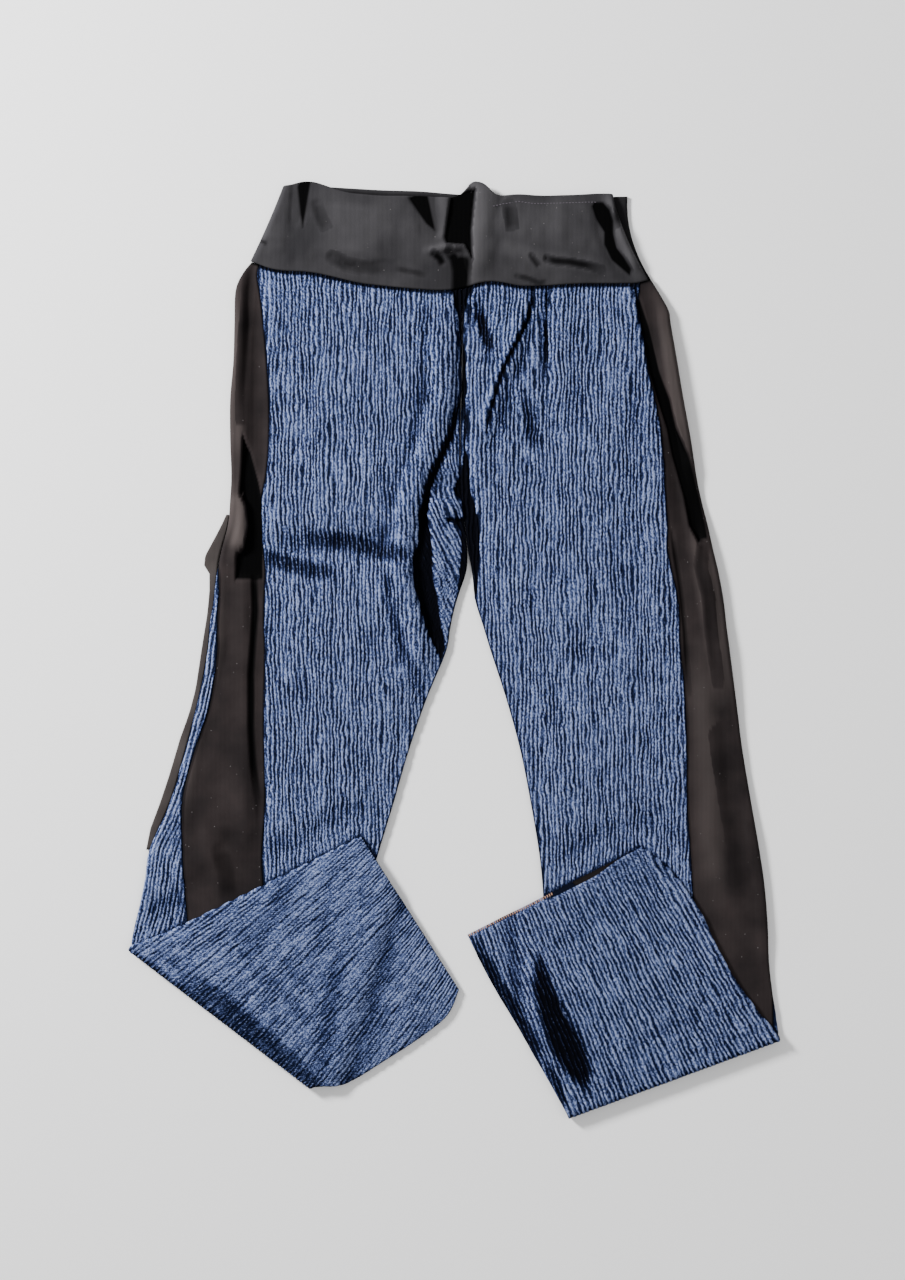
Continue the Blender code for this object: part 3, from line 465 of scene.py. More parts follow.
RIGHT_CREASES = make_rows(
    Crease,
    ("centre_line", -2.0, 3.6, 2.0, [(8, 343), (10, 305), (11, 277), (13, 256), (13, 235), (15, 210),
        (13, 193), (15, 172)]),
    ("second_line", -1.4, 3.0, 1.5, [(19.5, 356), (19.3, 332), (18.7, 311), (18.4, 292)]),
    ("curved_line", -2.4, 3.3, 2.6, [(79, 356), (77, 328), (73, 312), (66, 298), (57, 280), (50, 265),
        (45, 250), (40, 235), (37, 220), (34, 208), (32, 199)]),
    ("straight_line", -2.0, 2.9, 2.2, [(91.5, 354), (91.5, 325), (91, 302), (91.5, 277), (92, 249)]),
    ("dark_hollow", -2.4, 6.5, 1.9, [(26, 323), (29, 312), (33, 300), (37, 289), (38, 279)]),
    ("hollow_tail", -1.0, 5.0, 0.8, [(26, 340), (28, 321), (37, 289), (38, 264)]),
    ("soft_hollow", -1.2, 8.0, 1.25, [(70, 241), (75, 223), (78, 200), (81, 188)]),
    ("side_seam_line", -1.2, 3.0, 1.2, [(210, 110), (214, 83), (218, 57), (222, 19), (224, -15),
        (226, -48)]),
    ("side_soft", -1.4, 6.0, 0.8, [(240, 103), (237, 78), (244, 51), (247, 17), (255, -44)]),
    ("side_low", -0.8, 13.0, 0.25, [(257, -82), (268, -151), (279, -206), (283, -262)]),
)
CENTRE_SPLIT = Pit("centre_split", 2.6, 2.0, [
    (0, 346), (3, 326), (7, 311), (8, 291), (10, 276), (10, 261), (9, 244), (6.5, 229), (13, 229),
    (14, 251), (15, 271), (13, 291), (14, 318), (17, 332), (22, 347),
])
LEFT_PITS = [CENTRE_SPLIT] + make_rows(
    Pit,
    ("roll_gap", 2.6, 2.4, [(-22, 150), (-26, 148), (-32, 127), (-31, 104), (-37.5, 84), (-37, 67),
        (-31, 44), (-25, 21), (-17, 4), (-10, -9), (-7, -8), (-5, 2), (-9, 24), (-11, 47), (-16, 71),
        (-16, 91), (-18, 111), (-21, 127), (-18, 147)]),
    ("centre_gap", 2.6, 2.2, [(14, 188), (10, 171), (2, 151), (6, 144), (14, 136), (15, 125), (0, 124),
        (-5, 126.5), (-3, 121), (5, 118), (9, 111), (10.5, 96), (8.5, 80), (7, 57), (10, 42), (24, 42),
        (24, 188)]),
    ("side_gap", 2.3, 3.0, [(-197, 201), (-189.5, 186), (-182, 158), (-178, 138), (-178, 68), (-204, 68),
        (-203, 89), (-196, 95), (-192, 118), (-194.5, 138), (-200, 148), (-198, 178)]),
)
RIGHT_PITS = [CENTRE_SPLIT] + make_rows(
    Pit,
    ("centre_gap", 2.6, 2.2, [(14, 188), (10, 171), (5, 130), (5, 42), (21, 42), (26, 57), (27, 77),
        (28.5, 104), (27, 125), (20, 151), (19, 171), (16, 188)]),
    ("right_gap", 2.2, 2.6, [(172, 348), (179, 306), (188, 264), (196, 237), (205, 210), (210, 184),
        (221, 145), (226, 118), (234, 103), (243, 105), (241, 118), (235, 145), (225, 184), (214, 210),
        (208, 237), (198, 264), (188, 306), (176, 343)]),
)
RIGHT_FLAP_CREASES = make_rows(
    Crease,
    ("edge_shade", -0.9, 9.0, 1.7, [(20, -276), (40, -312), (62, -346), (78, -376), (90, -402)]),
    ("edge_shade_low", -0.6, 4.0, 1.5, [(92, -392), (104, -420), (110, -436)]),
)
RIGHT_FLAP_PITS = [Pit("flap_shadow", 2.2, 11.0, [
    (84, -288), (95, -316), (108, -342), (124, -370), (133, -398), (128, -416), (113, -404),
    (97, -382), (86, -350), (79, -319),
])]
LEFT_FLAP_CREASES = make_rows(
    Crease,
    ("trough_shade", -0.5, 13.0, 0.45, [(-147, -208), (-166, -245), (-186, -275), (-201, -292)]),
    ("edge_line", -0.5, 9.0, 0.75, [(-104, -290), (-110, -316), (-115, -338), (-114, -360), (-126, -403),
        (-132, -430)]),
    ("fold_shade", -0.3, 13.0, 1.2, [(-250, -312), (-213, -338), (-170, -377), (-130, -414),
        (-112, -436)]),
    ("fold_shade_thin", -0.3, 5.0, 1.5, [(-318, -285), (-300, -289), (-262, -317), (-213, -353),
        (-160, -396), (-130, -420)]),
)
BAND_CREASES = make_rows(
    Crease,
    ("left_streak", -1.0, 6.0, 0.6, [(-127, 422), (-123, 410), (-116, 396)]),
    ("notch", -0.8, 1.8, 1.2, [(-179.5, 387.6), (-177, 386), (-173, 383.5)]),
    ("low_shadow", -1.4, 7.0, 0.9, [(-112, 372), (-100, 366), (-86, 363), (-70, 362), (-58, 364)]),
    ("low_shadow_spot", -0.8, 4.0, 1.2, [(-103, 367), (-94, 365), (-86, 366)]),
    ("low_shadow_2", -0.9, 3.2, 0.9, [(-50, 360.5), (-37, 358), (-19.5, 354)]),
    ("pinch_hole", -2.0, 4.2, 1.9, [(-16, 375), (-10, 371), (-6, 363)]),
    ("pinch_hole_2", -2.0, 5.6, 2.0, [(-1, 377), (4, 370), (6, 359), (6, 345), (6, 328)]),
    ("black_shadow", -2.2, 9.6, 2.3, [(11, 374), (11, 366), (10, 355), (9, 338), (9, 318)]),
    ("painted_shading", -1.2, 6.5, 0.8, [(55, 421), (57, 410), (59, 396)]),
    ("long_shadow", -1.9, 4.0, 1.7, [(91, 370.5), (100, 368), (113, 367), (129, 364), (148, 359)]),
    ("kink", -1.2, 3.0, 1.2, [(76.5, 373), (81, 367), (85, 362)]),
    ("second_shadow", -1.2, 3.2, 1.2, [(63, 354), (74, 351.5), (85, 347), (95, 350)]),
    ("right_thin", -1.0, 2.4, 1.2, [(155, 430), (157, 417), (158, 397)]),
)
BAND_PITS = make_rows(
    Pit,
    ("left_wedge", 2.1, 3.2, [(-145, 439), (-142, 446), (-132, 446), (-134.5, 431), (-137.5, 413),
        (-139.8, 400), (-142.3, 413)]),
    ("dip", 2.2, 3.4, [(-40, 428), (-23, 436), (-14.7, 397), (-23, 404), (-33, 418)]),
    ("band_centre", 2.4, 3.0, [(0, 432), (-6, 391), (-4, 385), (13, 384), (21, 370), (20, 396), (22, 418),
        (24, 436), (17, 436), (7, 432)]),
    ("band_right", 2.3, 3.4, [(136, 424), (134, 420), (138, 408), (146, 396), (146, 384), (153, 369.5),
        (170, 355), (172, 360.5), (165, 372), (157.5, 381), (155, 394), (155, 406.5), (151.5, 417),
        (145, 424)]),
)
print(len(LEFT_CREASES) + len(RIGHT_CREASES) + len(BAND_CREASES), "thin creases")

# %% [markdown]
# A few small helpers: an easing curve, a smooth curve through a column of the table, the
# distance from a crease, and a smooth repeatable drift that keeps the crinkles uneven.

# %% Curves, creases and drift
FOLD_SPREAD = 1.6
FOLD_TAPER = 0.18
CREASE_TAPER = 0.25
SHADE_SPREAD = 1.05
SHADE_TAPER = 0.3
KNOTS = 256


def smooth_step(value):
    """Ease from 0 to 1 while the value goes from 0 to 1."""
    t = np.clip(value, 0.0, 1.0)
    return t * t * (3.0 - 2.0 * t)


def through(values, at):
    """A smooth curve through a list of values, one for each whole number."""
    v = np.asarray(values, float)
    last = len(v) - 1
    at = np.clip(at, 0.0, last)
    k = np.minimum(at.astype(int), last - 1)
    t = at - k
    a, b, c, d = v[np.maximum(k - 1, 0)], v[k], v[k + 1], v[np.minimum(k + 2, last)]
    slope_b = (c - a) / 2
    slope_c = (d - b) / 2
    t2 = t * t
    t3 = t2 * t
    return (2 * t3 - 3 * t2 + 1) * b + (t3 - 2 * t2 + t) * slope_b \
        + (3 * t2 - 2 * t3) * c + (t3 - t2) * slope_c


def curve_y(points, x):
    """The height y of a line of points at x, rounded where the points meet."""
    xs, ys = zip(*points)
    return sum(np.interp(x + r, xs, ys) for r in np.linspace(-9.0, 9.0, 7)) / 7


def line_distance(x, y, line):
    """Distance from points to a line of points, and how far along it they lie, 0 to 1."""
    best = np.full(x.shape, 1e9)
    along = np.zeros(x.shape)
    spans = len(line) - 1
    for k in range(spans):
        (ax, ay), (bx, by) = line[k], line[k + 1]
        length2 = (bx - ax) ** 2 + (by - ay) ** 2
        t = np.clip(((x - ax) * (bx - ax) + (y - ay) * (by - ay)) / length2, 0.0, 1.0)
        d = np.hypot(x - ax - t * (bx - ax), y - ay - t * (by - ay))
        nearer = d < best
        best = np.where(nearer, d, best)
        along = np.where(nearer, (k + t) / spans, along)
    return best, along


def fold_height(folds, x, y):
    """The sum of the creases' ridges and troughs at points of the plan."""
    total = np.zeros(x.shape)
    for fold in folds:
        d, along = line_distance(x, y, fold.line)
        q = np.clip(d / (FOLD_SPREAD * fold.width), 0.0, 1.0)
        taper = smooth_step(along / FOLD_TAPER) * smooth_step((1.0 - along) / FOLD_TAPER)
        total += fold.rise * (1.0 - q * q) ** 2 * (0.35 + 0.65 * taper)
    return total


def outline_distance(x, y, outline):
    """Distance outside a closed outline, negative inside it."""
    closed = list(outline) + [outline[0]]
    distance, _ = line_distance(x, y, closed)
    inside = np.zeros(x.shape, bool)
    for (ax, ay), (bx, by) in zip(closed, closed[1:]):
        crosses = (ay > y) != (by > y)
        inside ^= crosses & (x < ax + (y - ay) * (bx - ax) / (by - ay + 1e-9))
    return np.where(inside, -distance, distance)


def crease_height(creases, x, y):
    """The sum of the thin creases at points of the plan."""
    total = np.zeros(x.shape)
    for crease in creases:
        d, along = line_distance(x, y, crease.line)
        q = np.clip(d / crease.width, 0.0, 1.0)
        total += crease.rise * (1.0 - q * q) ** 2 * smooth_step((1.0 - along) / CREASE_TAPER)
    return total


def pit_mask(pits, x, y):
    """1 in a pit, easing to 0 just outside its outline."""
    mask = np.zeros(x.shape)
    for pit in pits:
        edge = outline_distance(x, y, pit.outline)
        mask = np.maximum(mask, smooth_step(0.5 - edge / pit.soft))
    return mask


def darkness(creases, pits, x, y):
    """How much painted shade creases and pits hold at points of the plan."""
    total = np.zeros(x.shape)
    for crease in creases:
        d, along = line_distance(x, y, crease.line)
        q = np.clip(d / (SHADE_SPREAD * crease.width), 0.0, 1.0)
        fade = smooth_step((1.0 - along) / SHADE_TAPER) * smooth_step((along + 0.12) / SHADE_TAPER)
        total = np.maximum(total, crease.dark * (1.0 - q ** 3) * fade)
    for pit in pits:
        edge = outline_distance(x, y, pit.outline)
        total = np.maximum(total, pit.dark * smooth_step(0.55 - edge / pit.soft))
    return total


def drift(x, y, seed):
    """Smooth repeatable noise from -1 to 1, one unit between its knots."""
    knots = np.random.default_rng(seed).uniform(-1.0, 1.0, (KNOTS, KNOTS))
    i = np.floor(x).astype(int)
    j = np.floor(y).astype(int)
    fx = smooth_step(x - i)
    fy = smooth_step(y - j)
    low = knots[i % KNOTS, j % KNOTS] * (1 - fx) + knots[(i + 1) % KNOTS, j % KNOTS] * fx
    high = knots[i % KNOTS, (j + 1) % KNOTS] * (1 - fx) + knots[(i + 1) % KNOTS, (j + 1) % KNOTS] * fx
    return low * (1 - fy) + high * fy


def ripples(table, x, y, seed=0):
    """The sum of several drifts, each given by its size, width, length and seed."""
    return sum(size * drift(x / wide, y / tall, seed + own) for size, wide, tall, own in table)


print("drift at the centre", round(float(drift(np.array([0.5]), np.array([0.5]), 1)[0]), 3))

# %% [markdown]
# The leg's surface gives the middle of the cloth at any station and girth. The layers are
# stacked like the real cloth: back, front, the folded hem's under side and its top. Where
# the hem lies on the shin the front is pressed flat, and elsewhere it lifts softly.

# %% One leg as a surface
FRONT_RIPPLES = ((0.7, 24, 46, 5), (0.4, 11, 30, 6))
FLAP_RIPPLES = ((0.5, 20, 30, 7),)
INNER_EASE = 0.16
WAIST_REACH = 1.1
FLAP_ROW = 46.0
SHIN_ROW = 17
FOLD_STEP = 2.0
MEASURED_STEPS = 2401
WAIST_SEAM = [
    (-205, 373), (-189, 369), (-179, 363), (-162, 359), (-133, 358), (-114, 354), (-86, 347),
    (-48, 343), (-10, 340), (11, 342), (30, 349), (47, 349), (66, 344), (93, 345), (123, 347),
    (180, 347), (191, 352), (205, 356),
]


class Leg:
    """One leg's surface: points of the cloth's middle from station s and girth p."""

    def __init__(self, rows, flap, folds, flap_folds, side, creases, pits, flap_creases, flap_pits):
        self.side = side
        self.folds = folds + SHARED_FOLDS
        self.flap_folds = flap_folds
        self.creases = creases
        self.pits = pits
        self.flap_creases = flap_creases
        self.flap_pits = flap_pits
        self.last = len(rows) - 1
        self.flap_start = self.last + 1
        self.end = self.flap_start + len(flap) - 1
        fold = rows[-1]
        along_x = fold.inner_x - fold.outer_x
        along_y = fold.inner_y - fold.outer_y
        length = math.hypot(along_x, along_y)
        self.out_x = -along_y / length * side
        self.out_y = along_x / length * side
        self.table = {name: [getattr(r, name) for r in rows] for name in LegRow._fields}
        self.flap = {name: [getattr(r, name) for r in flap] for name in FlapRow._fields}
        for table, place in ((self.table, -1), (self.flap, 0)):
            for end in ("outer", "inner"):
                table[end + "_x"][place] -= self.out_x * FOLD_REACH
                table[end + "_y"][place] -= self.out_y * FOLD_REACH
        self.fold = fold
        outer = [(r.outer_x, r.outer_y) for r in flap]
        inner = [(r.inner_x, r.inner_y) for r in flap]
        self.outline = outer + inner[::-1]

    def seam(self, name, s):
        """Girth of the front or the back seam at a station."""
        return through(self.table[name], np.minimum(s, float(self.last)))

    def ends(self, s):
        """The outer and the inner end of the row at a station, in plan."""
        leg_s = np.minimum(s, float(self.last))
        flap_s = np.maximum(s - self.flap_start, 0.0)
        return [np.where(s >= self.flap_start, through(self.flap[name], flap_s),
                         through(self.table[name], leg_s)) for name in FlapRow._fields]

    def uncovered(self, x, y):
        """Distance outside the folded hem's outline, negative under it."""
        return outline_distance(x, y, self.outline)

    def outside_leg(self, x, y):
        """Distance beyond the shin's inner edge, where the folded hem lies on the table."""
        ax, ay = self.table["inner_x"][SHIN_ROW], self.table["inner_y"][SHIN_ROW]
        bx, by = self.fold.inner_x, self.fold.inner_y
        cross = (bx - ax) * (y - ay) - (by - ay) * (x - ax)
        return -self.side * cross / math.hypot(bx - ax, by - ay)

    def layer(self, s, x, y, u):
        """Mid heights of the layer over p > 0 and of the layer over p < 0."""
        open_cloth = smooth_step((self.uncovered(x, y) - COVER_MARGIN) / COVER_EASE)
        near_inner = smooth_step((1.0 - u) / INNER_EASE)
        below_crotch = smooth_step((s - CROTCH_ROW + 1.5) / 2.0)
        near_inner = near_inner * below_crotch + (1.0 - below_crotch)
        creases = fold_height(self.folds, x, y) + crease_height(self.creases, x, y)
        ripple = ripples(FRONT_RIPPLES, x, y)
        loft = FRONT_LOFT * near_inner + (creases + ripple) * (1.0 - below_crotch * (1.0 - near_inner))
        front = FRONT_PRESSED_MID + loft * open_cloth
        waist = np.exp(-(s / WAIST_REACH) ** 2)
        front = front * (1.0 - waist) + (WAIST_MID + creases * 0.6) * waist
        pit = pit_mask(self.pits, x, y)
        front = np.maximum(front, FRONT_LOW_MID) * (1.0 - pit) + FRONT_LOW_MID * pit
        flap_s = np.maximum(s - self.flap_start, 0.0)
        lift = FOLD_LIFT * np.exp(-flap_s * FLAP_ROW / FOLD_RELAX)
        past_leg = smooth_step((self.outside_leg(x, y) - DROP_MARGIN) / DROP_EASE)
        drop = (FLAP_UNDER_MID - BACK_MID) * past_leg * smooth_step(flap_s / 0.6)
        puff = FLAP_LOFT + fold_height(self.flap_folds, x, y) + crease_height(self.flap_creases, x, y)
        puff = puff + ripples(FLAP_RIPPLES, x, y)
        puff = np.maximum(puff, 0.0) * smooth_step(flap_s / 0.8)
        puff = puff * smooth_step((1.0 - u) / 0.1) * smooth_step(u / 0.06)
        puff = puff * (1.0 - pit_mask(self.flap_pits, x, y))
        under = FLAP_UNDER_MID + lift - drop
        top = FLAP_TOP_MID + lift - drop + puff
        on_flap = s >= self.flap_start
        return np.where(on_flap, under, front), np.where(on_flap, top, BACK_MID)

    def section(self, s, p):
        """Points of the cloth's middle for stations on the leg or on the folded hem."""
        ox, oy, ix, iy = self.ends(s)
        width = np.hypot(ix - ox, iy - oy)
        ex = (ix - ox) / width
        ey = (iy - oy) / width
        edge_front, edge_back = self.layer(s, ox + ex * 3.0, oy + ey * 3.0, 3.0 / width)
        radius = np.abs(edge_front - edge_back) / 2
        turn = radius * math.pi / 2
        angle = np.clip(np.abs(p) / radius, 0.0, math.pi / 2)
        inward = radius * (1.0 - np.cos(angle)) + np.maximum(np.abs(p) - turn, 0.0) + CLOTH / 2
        x = ox + ex * inward
        y = oy + ey * inward
        u = inward / width
        front, back = self.layer(s, x, y, u)
        settle = smooth_step((np.abs(p) - turn) / 9.0)
        flat = np.where(p >= 0, front, back)
        edge = np.where(p >= 0, edge_front, edge_back)
        middle = (edge_front + edge_back) / 2
        z = (middle + (edge - middle) * np.sin(angle)) * (1.0 - settle) + flat * settle
        pull = np.exp(-(s / 0.9) ** 2)
        first = self.table["outer_y"][0]
        straight = first + (self.table["inner_y"][0] - first) * u
        bend = (curve_y(WAIST_SEAM, x) - straight) * smooth_step(p / 4.0)
        return np.stack([x, y + (bend - SEAM_GAP / 2) * pull, z], -1)

    def point(self, s, p):
        """Points of the cloth's middle at any station, the fold included."""
        bend = (s > self.last) & (s < self.flap_start)
        on = self.section(np.where(bend, float(self.last), s), p)
        radius = FOLD_AXIS - on[..., 2]
        angle = (s - self.last) * math.pi
        bent = on.copy()
        bent[..., 0] += self.out_x * radius * np.sin(angle)
        bent[..., 1] += self.out_y * radius * np.sin(angle)
        bent[..., 2] = FOLD_AXIS - radius * np.cos(angle)
        return np.where(bend[..., None], bent, on)

    def inner_girth(self, s):
        """Girth of a layer's inner end at each station."""
        leg_s = np.where((s > self.last) & (s < self.flap_start), float(self.last), s)
        ox, oy, ix, iy = self.ends(leg_s)
        front, back = self.layer(leg_s, ox, oy, np.zeros(ox.shape))
        radius = np.abs(front - back) / 2
        return np.hypot(ix - ox, iy - oy) - CLOTH / 2 - radius + radius * math.pi / 2 - SEAM_GAP / 2

    def stations(self, leg_step, flap_step):
        """Stations about one step apart along the cloth, closer round the fold."""
        s = np.linspace(0.0, float(self.end), MEASURED_STEPS)
        middle = self.point(s, np.full(s.shape, 70.0 if self.side > 0 else 80.0))
        length = np.linalg.norm(np.diff(middle, axis=0), axis=1)
        at = (s[1:] + s[:-1]) / 2
        step = np.where(at < self.last - 1, leg_step, np.where(at < self.flap_start, FOLD_STEP, flap_step))
        count = np.concatenate([[0.0], np.cumsum(length / step)])
        return np.interp(np.linspace(0.0, count[-1], int(count[-1]) + 1), count, s)


left_leg = Leg(LEFT_LEG, LEFT_FLAP, LEFT_FOLDS, LEFT_FLAP_FOLDS, -1,
               LEFT_CREASES, LEFT_PITS, LEFT_FLAP_CREASES, [])
right_leg = Leg(RIGHT_LEG, RIGHT_FLAP, RIGHT_FOLDS, RIGHT_FLAP_FOLDS, 1,
                RIGHT_CREASES, RIGHT_PITS, RIGHT_FLAP_CREASES, RIGHT_FLAP_PITS)
print("stations on a leg:", left_leg.end)

# %% [markdown]
# A shell is made from a grid of points on its outside and a sparser grid inside, joined
# round the rim, so it is closed and thin like the cloth. Its faces are turned outwards by
# the sign of its volume.

# %% A thin closed shell from two grids
INNER_COLUMNS = 4
INNER_ROWS = 3


def thin(count, every):
    """Every so many indices of a row, the last one included."""
    kept = list(range(0, count - 1, every))
    return kept + [count - 1]


def rim(outer, inner, kept, faces):
    """Faces between an outer border and the sparser inner border beside it."""
    for k in range(len(kept) - 1):
        strip = [outer[i] for i in range(kept[k], kept[k + 1] + 1)]
        faces.append(strip + [inner[k + 1], inner[k]])


def placed_mesh(name, points, faces):
    """A mesh from points in millimetres, moved to the model's origin."""
    mesh = bpy.data.meshes.new(name)
    placed = (np.array(points) - np.array([CENTRE_X, CENTRE_Y, 0.0])) * MM
    mesh.from_pydata(placed.tolist(), [], faces)
    return mesh


def shell(name, outer, inner, cloth_map, facts, material):
    """A named closed shell from grids in millimetres, with its map and its point facts."""
    rows, columns = outer.shape[:2]
    kept_rows = thin(rows, INNER_ROWS)
    kept_columns = thin(columns, INNER_COLUMNS)
    kept = np.ix_(kept_rows, kept_columns)
    inside = inner[kept]
    out_index = np.arange(rows * columns).reshape(rows, columns)
    in_index = np.arange(inside.shape[0] * inside.shape[1]).reshape(inside.shape[:2]) + rows * columns
    quads = np.stack([out_index[:-1, :-1], out_index[:-1, 1:], out_index[1:, 1:], out_index[1:, :-1]], -1)
    under = np.stack([in_index[:-1, :-1], in_index[1:, :-1], in_index[1:, 1:], in_index[:-1, 1:]], -1)
    faces = quads.reshape(-1, 4).tolist() + under.reshape(-1, 4).tolist()
    rim_faces = []
    rim(out_index[0], in_index[0], kept_columns, rim_faces)
    rim(out_index[-1][::-1], in_index[-1][::-1], [columns - 1 - k for k in kept_columns[::-1]], rim_faces)
    rim(out_index[:, 0][::-1], in_index[:, 0][::-1], [rows - 1 - k for k in kept_rows[::-1]], rim_faces)
    rim(out_index[:, -1], in_index[:, -1], kept_rows, rim_faces)
    faces += [[int(i) for i in face[::-1]] for face in rim_faces]
    points = np.concatenate([outer.reshape(-1, 3), inside.reshape(-1, 3)])
    mesh = placed_mesh(name, points, faces)
    grid_map = np.concatenate([cloth_map.reshape(-1, 2), cloth_map[kept].reshape(-1, 2)])
    layer = mesh.uv_layers.new(name="cloth")
    loops = np.empty(len(mesh.loops), dtype=np.int32)
    mesh.loops.foreach_get("vertex_index", loops)
    layer.data.foreach_set("uv", (grid_map[loops] * MM).ravel())
    for fact, values in facts.items():
        attribute = mesh.attributes.new(fact, "FLOAT", "POINT")
        both = np.concatenate([values.ravel(), values[kept].ravel()])
        attribute.data.foreach_set("value", both.astype(np.float32))
    piece = bpy.data.objects.new(name, mesh)
    bpy.context.collection.objects.link(piece)
    mesh.materials.append(material)
    turn_outwards(mesh)
    mesh.shade_smooth()
    return piece


def turn_outwards(mesh):
    """Turn a closed mesh's faces over where its signed volume is negative."""
    mesh.calc_loop_triangles()
    corners = np.empty(len(mesh.loop_triangles) * 3, dtype=np.int32)
    mesh.loop_triangles.foreach_get("vertices", corners)
    points = np.empty(len(mesh.vertices) * 3)
    mesh.vertices.foreach_get("co", points)
    a, b, c = points.reshape(-1, 3)[corners].reshape(-1, 3, 3).transpose(1, 0, 2)
    if np.sum(a * np.cross(b, c)) < 0:
        mesh.flip_normals()


def grid_normals(middle, sign):
    """Directions out of the cloth at each point of a grid."""
    down = np.gradient(middle, axis=0)
    across = np.gradient(middle, axis=1)
    n = np.cross(across, down) * sign
    return n / np.maximum(np.linalg.norm(n, axis=-1, keepdims=True), 1e-9)


print("inner grid keeps one column in", INNER_COLUMNS)

# %% [markdown]
# The crinkle is a run of soft ribs whose line wanders. A phase counts the ribs across the
# cloth, and slow and quick drifts push it sideways, so that ribs bend, narrow and meet.
# Each furrow has its own depth that changes along it, so some run on deep, and painted dark,
# for a few centimetres while others nearly close.

# %% Crinkle ribs
RIB_PITCH = 3.8
RIB_RISE = 1.0
BENDS = ((0.50, 15, 42, 0), (0.28, 4.4, 9.5, 1), (0.16, 2.1, 4.6, 2))


def crinkle(across, along, seed, wander=1.0, deepen=0.0):
    """Rib height from 0 to 1 at points of the cloth, in millimetres across and along."""
    phase = across / RIB_PITCH + wander * ripples(BENDS, across, along, seed)
    valley = 0.5 - 0.5 * np.cos(2 * math.pi * phase)
    furrow = np.floor(phase)
    depth = 0.88 + 0.30 * drift(furrow, along / 21, seed + 3) + 0.18 * drift(furrow, along / 6.0, seed + 4)
    depth = depth + deepen * (furrow % 2)
    rib = 1.0 - valley ** 0.9 * np.clip(depth, 0.3, 1.15) + 0.14 * drift(across / 1.6, along / 2.3, seed + 5)
    return np.clip(rib, 0.0, 1.15)


sample = crinkle(np.linspace(0, 60, 400), np.zeros(400), 1)
print("ribs from", round(float(sample.min()), 2), "to", round(float(sample.max()), 2))

# %% [markdown]
# Now the six leg pieces. Their grids are fine where they are seen and sparser where the
# folded hem hides them. The ribs stand up on the outside and leave the seams flat.

# %% Grids for a leg's pieces
EDGE_SOFT = 1.6
EDGE_DROP = 0.45
TABLE_CLEARANCE = 0.02
CREST_RISE = 5.5
HOLLOW_DEPTH = 1.6
HOLLOW_REACH = (5, 14)
SEAM_SHADE = 2.2
FOLD_SHADE = 1.3
EDGE_SHADE = 1.2
MOUTH_SHADE = 1.5
MOUTH_END = 108.0
LEAST_SHADE = 0.02


def leg_grid(stations, start, end, columns, knee=None, knee_share=None):
    """Station and girth grids from start to end, with a share of the columns before a knee."""
    t = np.linspace(0.0, 1.0, columns)[None, :]
    start, end = start[:, None], end[:, None]
    p = start + (end - start) * t
    if knee is not None:
        share = knee_share[:, None]
        knee = knee[:, None]
        first = start + (knee - start) * t / np.maximum(share, 1e-6)
        second = knee + (end - knee) * (t - share) / (1.0 - share)
        p = np.where(t < share, first, second)
    s = np.repeat(stations[:, None], columns, axis=1)
    return s, p


def hollow_depth(middle, reach_rows, reach_columns):
    """How far each point lies below the mean of the cloth around it, in millimetres."""
    z = middle[..., 2]
    total = np.zeros(z.shape)
    shifts = [(dr, dc) for dr in (-1, 0, 1) for dc in (-1, 0, 1) if dr or dc]
    for dr, dc in shifts:
        rows = np.clip(np.arange(z.shape[0]) + dr * reach_rows, 0, z.shape[0] - 1)
        columns = np.clip(np.arange(z.shape[1]) + dc * reach_columns, 0, z.shape[1] - 1)
        total += z[np.ix_(rows, columns)]
    return total / len(shifts) - z


